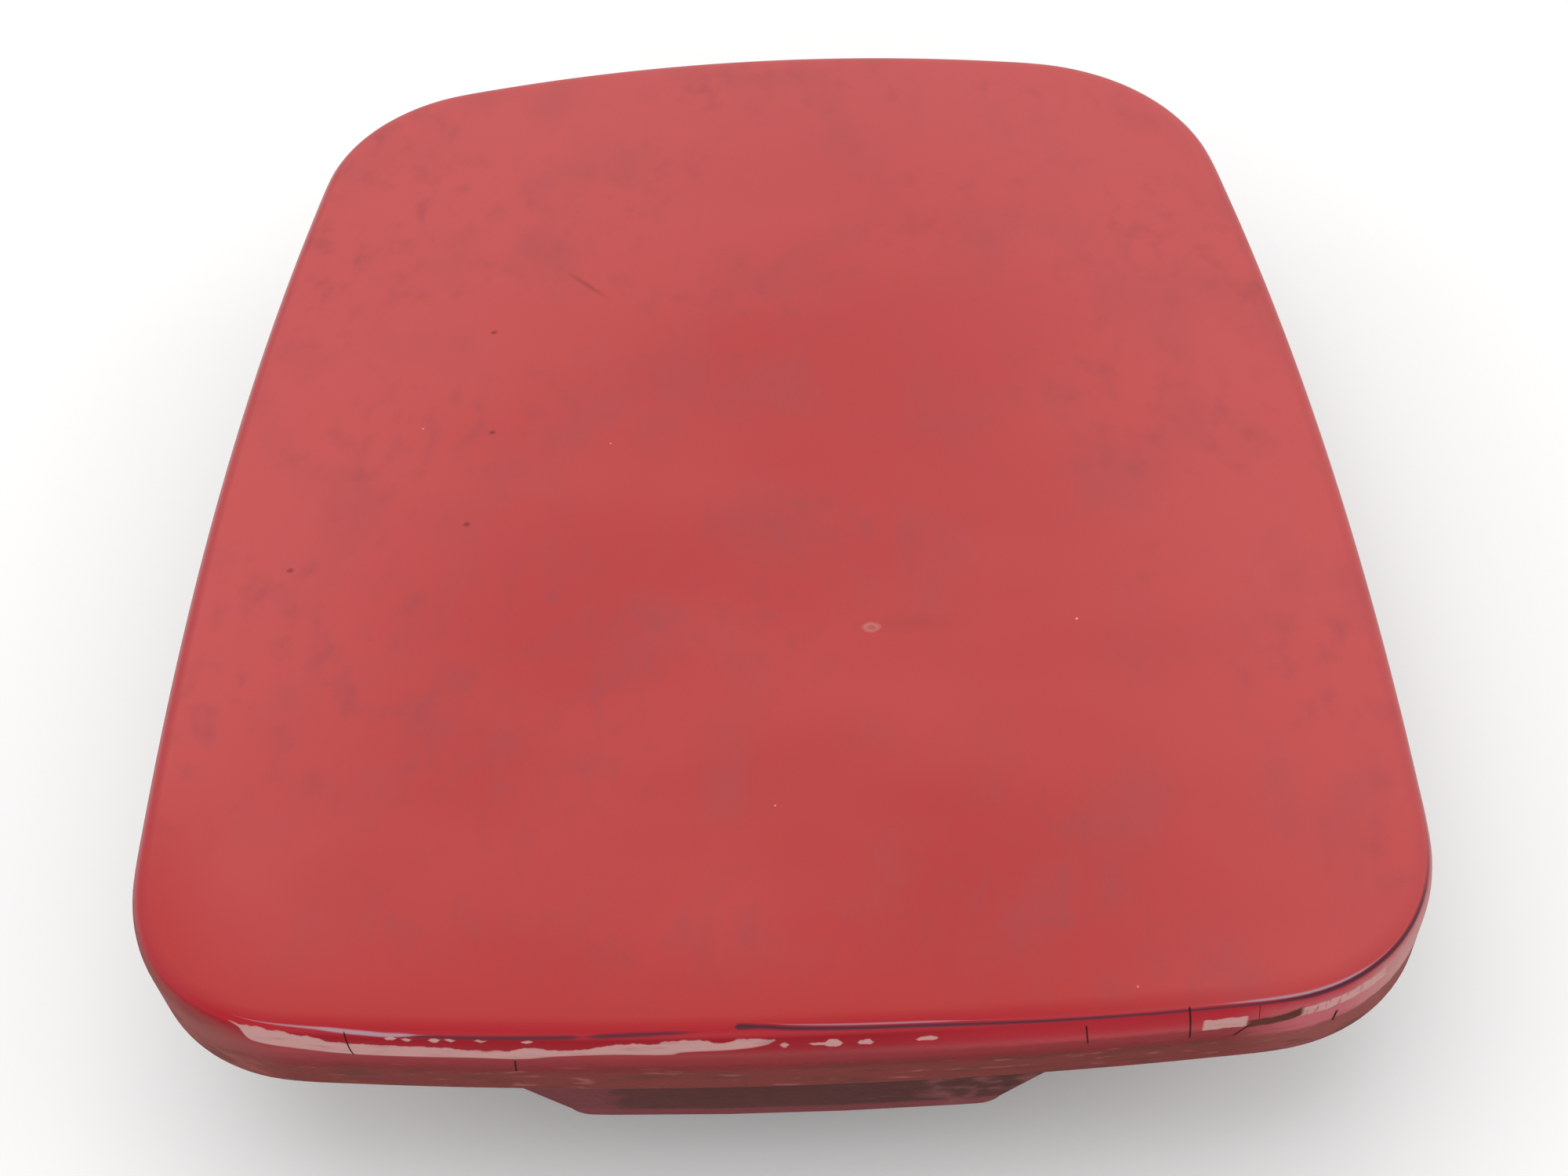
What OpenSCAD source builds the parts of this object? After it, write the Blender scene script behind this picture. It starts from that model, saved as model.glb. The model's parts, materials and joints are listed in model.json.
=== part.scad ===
// Hinged filler flap for a fuel tank.
// A painted steel skin with a turned-down rim is lined with a pressed inner
// panel. A gooseneck arm carries the flap on a sprung hinge, a striker on the
// free edge meets the lock, and a hook under the flap holds the filler cap.
// Frame: origin between the two fixing holes of the hinge bracket, on the face
// that meets the vehicle. +Z points out of the painted skin, X runs along the
// hinge pin, and the free edge of the flap lies towards -Y.

/* [Skin outline] */
// Width across the free edge, between the corners of its straight-sided outline
skin_near_w = 160; // [120:1:220]
// Width across the hinge edge, between the same corners
skin_far_w = 141; // [105:1:200]
// Length from the free edge to the hinge edge, between the same corners
skin_len = 174; // [150:1:230]
// Sideways lean of the hinge edge
skin_skew = -2; // [-6:0.5:6]
// Reach of the two rounded corners on the free edge
corner_near = 22; // [14:1:30]
// Reach of the rounded corner on the hinge edge, left
corner_far_left = 19; // [14:1:28]
// Reach of the rounded corner on the hinge edge, right
corner_far_right = 24; // [14:1:30]
// Bow of the free edge
bow_near = 5.5; // [1:0.5:9]
// Bow of the hinge edge
bow_far = 9; // [2:0.5:12]
// Bow of the two sides
bow_side = 4.5; // [1:0.5:9]
// Radius of the skin's crown
crown_r = 1800; // [1200:50:4000]

/* [Skin section] */
// Sheet thickness of the painted skin
skin_t = 0.9; // [0.7:0.1:1.2]
// Depth of the turned-down rim
rim_h = 12.5; // [10:0.5:17]
// Outside radius of the bend between skin and rim
rim_bend = 4; // [2.5:0.5:5]
// Gap between sheets that lie against each other
lap_gap = 0.05; // [0.03:0.01:0.1]

/* [Inner panel] */
// Sheet thickness of the inner panel
panel_t = 0.8; // [0.6:0.1:1]
// Distance from the skin's outside down to the panel's outer shelf
shelf_drop = 4.2; // [3.8:0.1:5]
// Distance from the rim in to the foot of the dished middle
dish_in = 22; // [19:1:25]
// Step from the shelf down to the dished middle, at the free edge
dish_step = 1.4; // [1:0.1:2]

/* [Hinge] */
// Height of the top of the skin above the bracket's fixing face
skin_top = 43; // [41:1:50]
// Distance from the hinge pin to the hinge edge of the flap
pin_to_edge = 20; // [18:0.5:27]
// Height of the hinge pin above the fixing face
pin_z = 15; // [14:0.5:17]
// Diameter of the hinge pin
pin_d = 6; // [5:0.5:7]
// Radial running clearance of the pin in its bushes
pin_run = 0.05; // [0.03:0.01:0.08]
// Wall of the nylon bushes
bush_wall = 1.45; // [1:0.05:2]
// Thickness of the bush flanges
bush_flange_t = 1.2; // [0.8:0.1:1.6]
// Plate thickness of the gooseneck arm
arm_t = 1.8; // [1.5:0.1:2.2]
// Width of the arm where it is screwed to the inner panel
arm_pad_w = 46; // [40:1:54]
// Length of the arm's pad along the inner panel
arm_pad_len = 42; // [38:1:50]
// Plate thickness of the hinge bracket
bracket_t = 2; // [1.6:0.1:2.4]
// Clear width between the bracket's two lugs
lug_gap = 46; // [44:0.5:52]
// Length of the bracket's foot along the pin
foot_w = 84; // [80:1:100]
// Depth of the bracket's foot
foot_d = 25; // [23:0.5:32]
// Distance between the two fixing holes
fix_spacing = 66; // [62:1:80]
// Diameter of the two fixing holes
fix_d = 5.5; // [4.5:0.1:6.6]
// Wire diameter of the hinge spring
wire_d = 1.6; // [1.2:0.1:1.8]
// Full turns in the hinge spring, before its last half turn
spring_turns = 5; // [4:1:5]

/* [Latch] */
// Plate thickness of the latch plate
latch_t = 1; // [0.8:0.1:1.4]
// Width of the latch plate's tab at its lower edge
tab_w = 52; // [44:1:58]
// Depth of the tab below the rim
tab_drop = 11; // [8:0.5:13]
// Width of the striker blade
striker_w = 16; // [14:0.5:20]
// Thickness of the striker blade
striker_t = 5; // [4:0.5:6]
// Diameter of the eye that the lock pin enters
eye_d = 7; // [6:0.5:8]

/* [Fittings] */
// Screw diameter at the arm
arm_screw_d = 5; // [4:0.5:6]
// Screw diameter at the striker
striker_screw_d = 4; // [3:0.5:5]
// Head diameter of the rubber buffers
buffer_d = 12; // [10:0.5:14]
// Width of the cap holder
holder_w = 26; // [20:1:32]
// Gap between the holder's hook and the inner panel, for the filler cap
holder_gap = 12; // [9:0.5:14]

/* [Hidden] */
$fn = 64;
paint = "#bf4b4b";
primer = "#6b4a48";
zinc = "#b9b7ad";
black_rubber = "#26262a";
black_plastic = "#2f3033";
nylon = "#e6e0cf";
spring_steel = "#8d8f94";

// --- outline of the rim ----------------------------------------------------

edge_steps = 16;
corner_steps = 8;
corner_pull = 0.6;
panel_y = -(pin_to_edge + skin_len / 2 + bow_far);
outline_corners = [
    [-skin_near_w / 2, -skin_len / 2],
    [skin_near_w / 2, -skin_len / 2],
    [skin_far_w / 2 + skin_skew, skin_len / 2],
    [-skin_far_w / 2 + skin_skew, skin_len / 2]
];
outline_reach = [corner_near, corner_near, corner_far_right, corner_far_left];
outline_bow = [bow_near, bow_side, bow_far, bow_side];

function unit(v) = v / norm(v);
function outward(dir) = [dir[1], -dir[0]];

// Point at share s along side i, which bows outwards by a parabola.
function side_point(i, s) =
    let (a = outline_corners[i], b = outline_corners[(i + 1) % 4])
    a + (b - a) * s + outward(unit(b - a)) * 4 * s * (1 - s) * outline_bow[i];
function side_dir(i, s) =
    let (a = outline_corners[i], b = outline_corners[(i + 1) % 4])
    unit((b - a) + outward(unit(b - a)) * 4 * (1 - 2 * s) * outline_bow[i]);
function side_start(i) =
    outline_reach[i] / norm(outline_corners[(i + 1) % 4] - outline_corners[i]);
function side_end(i) =
    1 - outline_reach[(i + 1) % 4] / norm(outline_corners[(i + 1) % 4] - outline_corners[i]);

// Where the lines through p along u and through q along v cross.
function crossing(p, u, q, v) =
    let (w = q - p)
    p + u * (w[0] * v[1] - w[1] * v[0]) / (u[0] * v[1] - u[1] * v[0]);
function bezier(p, c, d, q, s) =
    p * pow(1 - s, 3) + c * 3 * s * pow(1 - s, 2) + d * 3 * s * s * (1 - s) + q * s * s * s;
function corner_point(i, s) =
    let (
        j = (i + 1) % 4,
        p = side_point(i, side_end(i)),
        q = side_point(j, side_start(j)),
        tip = crossing(p, side_dir(i, side_end(i)), q, side_dir(j, side_start(j)))
    )
    bezier(p, p + (tip - p) * corner_pull, q + (tip - q) * corner_pull, q, s);

rim_points = [
    for (i = [0:3]) each concat(
        [for (k = [0:edge_steps])
            side_point(i, side_start(i) + (side_end(i) - side_start(i)) * k / edge_steps)],
        [for (k = [1:corner_steps - 1]) corner_point(i, k / corner_steps)]
    )
];
rim_count = len(rim_points);
rim_normals = [
    for (i = [0:rim_count - 1])
        outward(unit(rim_points[(i + 1) % rim_count] - rim_points[(i + rim_count - 1) % rim_count]))
];

// The outline moved in by a distance, and scaled about its middle.
function inset(d, share = 1) =
    [for (i = [0:rim_count - 1]) (rim_points[i] - rim_normals[i] * d) * share];
// Drop of the crown below its top, at a point of the outline's own plane.
function crown(p) = (p[0] * p[0] + p[1] * p[1]) / (2 * crown_r);

near_y = panel_y - skin_len / 2 - bow_near;
near_crown = crown([0, skin_len / 2 + bow_near]);
rim_bottom_near = skin_top - rim_h - near_crown;

// --- rings and shells ------------------------------------------------------

// A ring is [inset, drop, share, flatness]: how far in from the rim, how far
// below the skin's outside, its scale about the middle, and how far it leaves
// the crown for a flat plane.
function ring(r) =
    [for (p = inset(r[0], r[2]))
        [p[0], p[1] + panel_y, skin_top - r[1] - crown(p) * (1 - r[3])]];

// A closed shell through rings that run from the middle of its upper side,
// round its edge, to the middle of its lower side. tops gives the height of
// the two middle points.
module ring_shell(rings, tops) {
    n = rim_count;
    m = len(rings);
    points = concat(
        [for (r = rings) each ring(r)],
        [[0, panel_y, tops[0]], [0, panel_y, tops[1]]]
    );
    faces = concat(
        [for (k = [0:m - 2], i = [0:n - 1])
            [k * n + i, (k + 1) * n + i, (k + 1) * n + (i + 1) % n, k * n + (i + 1) % n]],
        [for (i = [0:n - 1]) [m * n, i, (i + 1) % n]],
        [for (i = [0:n - 1]) [m * n + 1, (m - 1) * n + (i + 1) % n, (m - 1) * n + i]]
    );
    polyhedron(points, [for (f = faces) [for (k = [len(f) - 1:-1:0]) f[k]]], convexity = 6);
}

// --- flat outlines ---------------------------------------------------------

function arc(centre, r, from, to, steps) =
    [for (k = [0:steps])
        centre + r * [cos(from + (to - from) * k / steps), sin(from + (to - from) * k / steps)]];
function rounded_rect(w, d, r) = concat(
    arc([w / 2 - r, d / 2 - r], r, 0, 90, 6),
    arc([-w / 2 + r, d / 2 - r], r, 90, 180, 6),
    arc([-w / 2 + r, -d / 2 + r], r, 180, 270, 6),
    arc([w / 2 - r, -d / 2 + r], r, 270, 360, 6)
);

// Extrudes a profile drawn in Y and Z along X, from x0 to x1.
module along_x(x0, x1) {
    translate([x0, 0, 0]) rotate([90, 0, 90]) linear_extrude(x1 - x0) children();
}
module x_cylinder(x0, x1, r) {
    translate([x0, 0, pin_z]) rotate([0, 90, 0]) cylinder(h = x1 - x0, r = r);
}

// --- skin, inner panel and what lies between them ---------------------------

bend_angles = [18, 36, 54, 72];
rim_edge_r = 0.4;
inner_bend = rim_bend - skin_t;

module outer_skin() {
    outside = concat(
        [for (s = [0.25, 0.5, 0.75, 0.9]) [rim_bend, 0, s, 0]],
        [[rim_bend, 0, 1, 0]],
        [for (a = bend_angles) [rim_bend * (1 - sin(a)), rim_bend * (1 - cos(a)), 1, 0]],
        [[0, rim_bend, 1, 0], [0, rim_h - rim_edge_r, 1, 0], [rim_edge_r, rim_h, 1, 0]]
    );
    inside = concat(
        [[skin_t, rim_h, 1, 0], [skin_t, rim_bend, 1, 0]],
        [for (k = [3:-1:0]) let (a = bend_angles[k])
            [rim_bend - inner_bend * sin(a), rim_bend - inner_bend * cos(a), 1, 0]],
        [[rim_bend, skin_t, 1, 0]],
        [for (s = [0.9, 0.75, 0.5, 0.25]) [rim_bend, skin_t, s, 0]]
    );
    color(paint) ring_shell(concat(outside, inside), [skin_top, skin_top - skin_t]);
}

flange_out = skin_t + lap_gap;
flange_in = flange_out + panel_t;
flange_foot = rim_h - 1.2;
panel_bend = 2.6;
shelf_w = 14;
dish_drop = near_crown + shelf_drop + dish_step;
dish_top = skin_top - dish_drop;
dish_bottom = dish_top - panel_t;
drain_d = 10;
drain_x = 30;
drain_y = panel_y + 4;

module panel_shell() {
    upper_bend = panel_bend + panel_t;
    upper = concat(
        [[dish_in, dish_drop, 0.5, 1], [dish_in, dish_drop, 1, 1],
            [shelf_w, shelf_drop, 1, 0], [flange_out + upper_bend, shelf_drop, 1, 0]],
        [for (a = [30, 60]) [
            flange_out + upper_bend * (1 - sin(a)), shelf_drop + upper_bend * (1 - cos(a)), 1, 0]],
        [[flange_out, shelf_drop + upper_bend, 1, 0], [flange_out, flange_foot, 1, 0]]
    );
    lower = concat(
        [[flange_in, flange_foot, 1, 0], [flange_in, shelf_drop + upper_bend, 1, 0]],
        [for (a = [60, 30]) [
            flange_out + upper_bend - panel_bend * sin(a),
            shelf_drop + upper_bend - panel_bend * cos(a), 1, 0]],
        [[flange_out + upper_bend, shelf_drop + panel_t, 1, 0],
            [shelf_w - 0.3, shelf_drop + panel_t, 1, 0],
            [dish_in - 0.3, dish_drop + panel_t, 1, 1], [dish_in, dish_drop + panel_t, 0.5, 1]]
    );
    ring_shell(concat(upper, lower), [dish_top, dish_bottom]);
}

module inner_panel() {
    color(primer) difference() {
        panel_shell();
        for (p = arm_screw_places)
            translate([p[0], p[1], dish_bottom - 1]) cylinder(h = panel_t + 2, d = arm_screw_d + 0.5);
        for (p = striker_screw_places)
            translate([p[0], p[1], dish_bottom - 1]) cylinder(h = panel_t + 2, d = striker_screw_d + 0.5);
        for (p = holder_rivet_places)
            translate([p[0], p[1], dish_bottom - 1]) cylinder(h = panel_t + 2, r = rivet_hole_r);
        for (p = buffer_places)
            translate([p[0], p[1], dish_bottom - 1]) cylinder(h = panel_t + 2, r = buffer_neck_r);
        for (side = [-1, 1])
            translate([side * drain_x, drain_y, dish_bottom - 1]) cylinder(h = panel_t + 2, d = drain_d);
    }
}

// The bead of sealer fills the corner under the flange's foot, inside the rim,
// and stops either side of the latch plate's tab.
bead_w = 2.1;
tab_root_w = tab_w + 16;
bead_stop_x = tab_root_w / 2 + 4;

module hem_sealer() {
    section = [
        [skin_t + lap_gap, flange_foot + lap_gap], [skin_t + lap_gap, rim_h - 0.1],
        [skin_t + 0.8, rim_h + 0.5], [skin_t + bead_w, rim_h + 0.1],
        [skin_t + bead_w + 0.3, flange_foot - 0.3], [flange_in + lap_gap, flange_foot - 0.6],
        [flange_in + lap_gap, flange_foot + lap_gap]
    ];
    sides = len(section);
    first = [for (i = [0:edge_steps]) if (rim_points[i][0] > bead_stop_x) i][0];
    last = max([for (i = [0:edge_steps]) if (rim_points[i][0] < -bead_stop_x) i]);
    count = rim_count - first + last + 1;
    loops = [for (s = section) ring([s[0], s[1], 1, 0])];
    points = [for (k = [0:count - 1], j = [0:sides - 1]) loops[j][(first + k) % rim_count]];
    faces = concat(
        [for (k = [0:count - 2], j = [0:sides - 1])
            [k * sides + j, (k + 1) * sides + j,
                (k + 1) * sides + (j + 1) % sides, k * sides + (j + 1) % sides]],
        [[for (j = [0:sides - 1]) j]],
        [[for (j = [sides - 1:-1:0]) (count - 1) * sides + j]]
    );
    color(primer) polyhedron(points, [for (f = faces) [for (k = [len(f) - 1:-1:0]) f[k]]], convexity = 8);
}

// Dabs of mastic between the skin and the shelf stop the skin from drumming.
dab_d = 9;
dab_in = 9;
dab_h = shelf_drop - skin_t - 2 * lap_gap;
dab_sides = [[1, 0.3], [1, 0.7], [3, 0.3], [3, 0.7], [2, 0.25], [2, 0.75], [0, 0.2], [0, 0.8]];

module mastic_dabs() {
    color(black_rubber) for (d = dab_sides) {
        p = side_point(d[0], d[1]) - outward(side_dir(d[0], d[1])) * dab_in;
        slope = atan(norm(p) / crown_r);
        translate([p[0], p[1] + panel_y, skin_top - skin_t - lap_gap - crown(p)])
            rotate([0, 0, atan2(p[1], p[0])])
                rotate([0, slope, 0])
                    translate([0, 0, -dab_h]) cylinder(h = dab_h, d = dab_d);
    }
}

// --- latch -----------------------------------------------------------------

tab_gap = 0.1;
tab_out = flange_in + tab_gap;
tab_in = tab_out + latch_t;
tab_bottom = rim_bottom_near - tab_drop;
upright_in = tab_out + 0.8 * latch_t;
latch_top = dish_bottom;
latch_leg_w = 44;
latch_leg_len = 38;
striker_y = near_y + 26;
striker_screw_x = 14;
striker_screw_places = [for (side = [-1, 1]) [side * striker_screw_x, striker_y]];

// Outline of the tab in X and Z: straight at the top, curving in to its lower
// edge through a fillet and a sloping end on each side.
function tab_side(side) = let (
    root = tab_root_w / 2, foot = tab_w / 2, top = rim_bottom_near + 5, knee = rim_bottom_near - 1.2
) [for (p = concat(
        [[root + 3, top], [root + 3, knee + 1.2]],
        arc([root + 1.5, knee - 1.5], 1.8, 90, 130, 4),
        arc([foot - 2.2, tab_bottom + 3], 3, -25, -90, 5)
    )) [side * p[0], p[1]]];

// The strip that follows the bow of the free edge, between two insets.
function strip(d0, d1, half) = concat(
    [for (i = [0:edge_steps]) if (abs(rim_points[i][0]) < half)
        rim_points[i] - rim_normals[i] * d0],
    [for (i = [edge_steps:-1:0]) if (abs(rim_points[i][0]) < half)
        rim_points[i] - rim_normals[i] * d1]
);

module latch_plate() {
    right = tab_side(1);
    left = tab_side(-1);
    color(primer) union() {
        intersection() {
            translate([0, panel_y, tab_bottom - 1]) linear_extrude(skin_top)
                polygon(strip(tab_out, tab_in, tab_root_w / 2 + 8));
            translate([0, near_y + 20, 0]) rotate([90, 0, 0]) linear_extrude(30)
                polygon(concat(right, [for (k = [len(left) - 1:-1:0]) left[k]]));
        }
        difference() {
            union() {
                translate([-latch_leg_w / 2, near_y + upright_in, latch_top - latch_t])
                    cube([latch_leg_w, latch_leg_len, latch_t]);
                translate([-latch_leg_w / 2, near_y + upright_in, rim_bottom_near + 3])
                    cube([latch_leg_w, latch_t, latch_top - rim_bottom_near - 3]);
            }
            for (p = striker_screw_places)
                translate([p[0], p[1], latch_top - latch_t - 1])
                    cylinder(h = latch_t + 2, d = striker_screw_d + 0.5);
        }
    }
}

striker_top = latch_top - latch_t;
striker_flange_t = 3;
striker_flange_w = 40;
striker_flange_d = 17;
eye_z = 8;

module latch_striker() {
    tip_t = striker_t - 2;
    shoulder = eye_z + 7;
    color(black_plastic) translate([0, striker_y, 0]) difference() {
        union() {
            translate([0, 0, striker_top - striker_flange_t]) linear_extrude(striker_flange_t)
                polygon(rounded_rect(striker_flange_w, striker_flange_d, 3));
            translate([-striker_w / 2, 0, 0]) rotate([90, 0, 90]) linear_extrude(striker_w)
                polygon([
                    [-striker_t / 2 + 2, 0], [striker_t / 2, 0], [striker_t / 2, striker_top - 6],
                    [striker_t / 2 + 3, striker_top - striker_flange_t],
                    [-striker_t / 2 - 3, striker_top - striker_flange_t],
                    [-striker_t / 2, striker_top - 6], [-striker_t / 2, 3]
                ]);
            for (side = [-1, 1]) translate([side * (striker_w / 2 - 1) - 1, 0, shoulder])
                rotate([90, 0, 90]) linear_extrude(2)
                    polygon([
                        [-striker_t / 2, 0], [striker_t / 2, 0],
                        [striker_flange_d / 2 - 1, striker_top - striker_flange_t - shoulder],
                        [-striker_flange_d / 2 + 1, striker_top - striker_flange_t - shoulder]
                    ]);
        }
        translate([0, striker_t, eye_z]) rotate([90, 0, 0]) cylinder(h = 2 * striker_t, d = eye_d);
        for (side = [-1, 1]) translate([side * striker_screw_x, 0, striker_top - striker_flange_t - 1])
            cylinder(h = striker_flange_t + 2, d = striker_screw_d + 0.4);
    }
}

// --- screws and nuts ---------------------------------------------------------

// A flanged screw that points up, with the underside of its head at z = 0.
module flanged_screw(d, shank) {
    flange_t = 1;
    head_h = 0.65 * d;
    difference() {
        union() {
            cylinder(h = shank, d = d - 0.1);
            translate([0, 0, -flange_t]) cylinder(h = flange_t, d = 2.1 * d);
            translate([0, 0, -flange_t - head_h]) cylinder(h = head_h, d = 1.5 * d);
        }
        translate([0, 0, -flange_t - head_h - 1]) cylinder(h = 0.45 * d + 1, d = 0.85 * d, $fn = 6);
    }
}

module weld_nut(d, h) {
    difference() {
        cylinder(h = h, d = 1.75 * d, $fn = 6);
        translate([0, 0, -1]) cylinder(h = h + 2, d = d);
    }
}

arm_nut_h = 4;
striker_nut_h = 3.2;

module arm_screws() {
    color(zinc) for (p = arm_screw_places) translate([p[0], p[1], arm_pad_top - arm_t])
        flanged_screw(arm_screw_d, arm_t + panel_t + arm_nut_h + 0.6);
}
module arm_weld_nuts() {
    color(zinc) for (p = arm_screw_places) translate([p[0], p[1], dish_top])
        weld_nut(arm_screw_d, arm_nut_h);
}
module striker_screws() {
    color(zinc) for (p = striker_screw_places) translate([p[0], p[1], striker_top - striker_flange_t])
        flanged_screw(striker_screw_d, striker_flange_t + latch_t + panel_t + striker_nut_h + 0.4);
}
module striker_weld_nuts() {
    color(zinc) for (p = striker_screw_places) translate([p[0], p[1], dish_top])
        weld_nut(striker_screw_d, striker_nut_h);
}

// --- gooseneck arm -----------------------------------------------------------

bush_r = pin_d / 2 + pin_run + bush_wall;
knuckle_r = bush_r + arm_t;
arm_pad_top = dish_bottom;
run_top = pin_z - knuckle_r + arm_t;
arm_bend_y = -(pin_to_edge + 2);
dish_edge_y = -(pin_to_edge + dish_in);
slope_top_y = dish_edge_y - 2;
pad_end_y = slope_top_y - arm_pad_len;
knuckle_x = [-7, lug_gap / 2 - 2.5];
neck_x = [-19, knuckle_x[1]];
neck_end_y = -(knuckle_r + 4.2);
arm_screw_places = [
    [-14, slope_top_y - 12], [14, slope_top_y - 12], [0, pad_end_y + 9]
];

// Side view of the arm: pad, slope and run, as the plate's upper edge and then
// its lower edge, with bends of radius bend_r.
arm_bend_r = 6;
arm_rise = arm_pad_top - run_top;
arm_run = arm_bend_y - slope_top_y;
arm_slope = atan2(arm_rise - 2 * arm_bend_r, arm_run)
    + asin(2 * arm_bend_r / norm([arm_rise - 2 * arm_bend_r, arm_run]));
arm_upper = concat(
    [[pad_end_y, arm_pad_top]],
    arc([slope_top_y, arm_pad_top - arm_bend_r], arm_bend_r, 90, 90 - arm_slope, 5),
    arc([arm_bend_y, run_top + arm_bend_r], arm_bend_r, 270 - arm_slope, 270, 5),
    [[0, run_top]]
);
arm_lower = concat(
    [[0, run_top - arm_t]],
    arc([arm_bend_y, run_top + arm_bend_r], arm_bend_r + arm_t, 270, 270 - arm_slope, 5),
    arc([slope_top_y, arm_pad_top - arm_bend_r], arm_bend_r - arm_t, 90 - arm_slope, 90, 5),
    [[pad_end_y, arm_pad_top - arm_t]]
);
rib_h = 4.5;
rib_root = 0.5;
rib_start_y = neck_end_y - 1.5;

module hinge_arm() {
    half = arm_pad_w / 2;
    plan = concat(
        arc([-half + 6, pad_end_y + 6], 6, 180, 270, 6),
        arc([half - 6, pad_end_y + 6], 6, 270, 360, 6),
        [[half, slope_top_y], [neck_x[1], arm_bend_y], [knuckle_x[1], 1],
            [knuckle_x[0], 1], [knuckle_x[0], neck_end_y], [neck_x[0], neck_end_y],
            [neck_x[0], arm_bend_y], [-half, slope_top_y]]
    );
    color(primer) difference() {
        union() {
            intersection() {
                along_x(-half, half) polygon(concat(arm_upper, arm_lower));
                linear_extrude(skin_top) polygon(plan);
            }
            x_cylinder(knuckle_x[0], knuckle_x[1], knuckle_r);
            arm_ribs();
            stop_heel();
        }
        x_cylinder(knuckle_x[0] - 1, knuckle_x[1] + 1, bush_r);
        for (p = arm_screw_places) translate([p[0], p[1], arm_pad_top - arm_t - 1])
            cylinder(h = arm_t + 2, d = arm_screw_d + 0.5);
    }
}

// Two turned-up edges stiffen the slope and the run.
module arm_ribs() {
    along = [cos(arm_slope), -sin(arm_slope)];
    square = [sin(arm_slope), cos(arm_slope)];
    top = [slope_top_y, arm_pad_top - arm_bend_r] + square * arm_bend_r;
    reach = (top[1] + rib_h * square[1] - run_top - rib_h) / sin(arm_slope);
    for (x = [neck_x[0], neck_x[1] - arm_t]) along_x(x, x + arm_t)
        polygon(concat(
            [top + along - square * rib_root, top + along * 5 + square * rib_h,
                top + along * reach + square * rib_h,
                [rib_start_y - 4, run_top + rib_h], [rib_start_y, run_top - rib_root]],
            arc([arm_bend_y, run_top + arm_bend_r], arm_bend_r + rib_root, 270, 270 - arm_slope, 5)
        ));
}

// The heel on the knuckle meets the stop pad when the flap is fully open.
heel_x = [2, 12];
heel_reach = knuckle_r + 3.2;
module stop_heel() {
    along_x(heel_x[0], heel_x[1])
        polygon([
            [knuckle_r - 1.2, pin_z - 2], [heel_reach, pin_z - 1.2],
            [heel_reach, pin_z + 1.2], [knuckle_r - 1.2, pin_z + 2]
        ]);
}

// --- hinge -----------------------------------------------------------------

lug_x = [lug_gap / 2, lug_gap / 2 + bracket_t];
lug_r = knuckle_r;

module bush(side) {
    inner = side > 0 ? knuckle_x[1] : knuckle_x[0];
    outer = inner + side * bush_flange_t;
    tail = inner - side * 9;
    color(nylon) difference() {
        union() {
            x_cylinder(min(inner, tail), max(inner, tail), bush_r);
            x_cylinder(min(inner, outer), max(inner, outer), bush_r + 1.6);
        }
        x_cylinder(min(outer, tail) - 1, max(outer, tail) + 1, pin_d / 2 + pin_run);
    }
}
module bush_left() { bush(-1); }
module bush_right() { bush(1); }

module hinge_bracket() {
    lug = concat([[-foot_d / 2 + 2, 0], [foot_d / 2 - 2, 0]], arc([0, pin_z], lug_r, -10, 190, 20));
    color(zinc) difference() {
        union() {
            linear_extrude(bracket_t) polygon(rounded_rect(foot_w, foot_d, 5));
            for (side = [-1, 1]) mirror([side < 0 ? 1 : 0, 0, 0])
                along_x(lug_x[0], lug_x[1]) polygon(lug);
        }
        for (side = [-1, 1]) translate([side * fix_spacing / 2, 0, -1])
            cylinder(h = bracket_t + 2, d = fix_d);
        x_cylinder(-lug_x[1] - 1, lug_x[1] + 1, pin_d / 2);
    }
}

pin_head_r = pin_d / 2 + 2;
pin_head_t = 2;
clip_t = 0.8;
clip_gap = 0.15;
groove_r = pin_d / 2 - 0.5;
clip_x = -lug_x[1] - clip_gap - clip_t;

module hinge_pin() {
    color(zinc) difference() {
        union() {
            x_cylinder(clip_x - 1.6, lug_x[1], pin_d / 2);
            x_cylinder(lug_x[1], lug_x[1] + pin_head_t, pin_head_r);
        }
        difference() {
            x_cylinder(clip_x, clip_x + clip_t, pin_d / 2 + 1);
            x_cylinder(clip_x - 1, clip_x + clip_t + 1, groove_r);
        }
    }
}

module pin_clip() {
    color(spring_steel) difference() {
        x_cylinder(clip_x, clip_x + clip_t, pin_head_r + 0.8);
        x_cylinder(clip_x - 1, clip_x + clip_t + 1, groove_r);
        along_x(clip_x - 1, clip_x + clip_t + 1)
            polygon([[0, pin_z + 1], [-6, pin_z - 8], [6, pin_z - 8]]);
    }
}

stop_pad_r = 5;
stop_clear = 0.4;
module stop_pad() {
    color(black_rubber)
        translate([(heel_x[0] + heel_x[1]) / 2, 0, bracket_t])
            cylinder(h = pin_z - heel_reach - stop_clear - bracket_t, r = stop_pad_r);
}

// Torsion spring: one leg bears on the foot behind the pin, the coil winds
// round the pin, and the other leg bears on the run of the arm.
coil_r = pin_d / 2 + 1.2 + wire_d / 2;
coil_pitch = wire_d + 0.12;
coil_steps = 14;
coil_total = spring_turns + 0.5;
coil_x0 = -lug_x[0] + wire_d / 2 + 0.3;
coil_x1 = coil_x0 + coil_pitch * coil_total;
leg_rest_z = run_top + wire_d / 2 + 0.05;
foot_rest_z = bracket_t + wire_d / 2 + 0.05;
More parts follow.
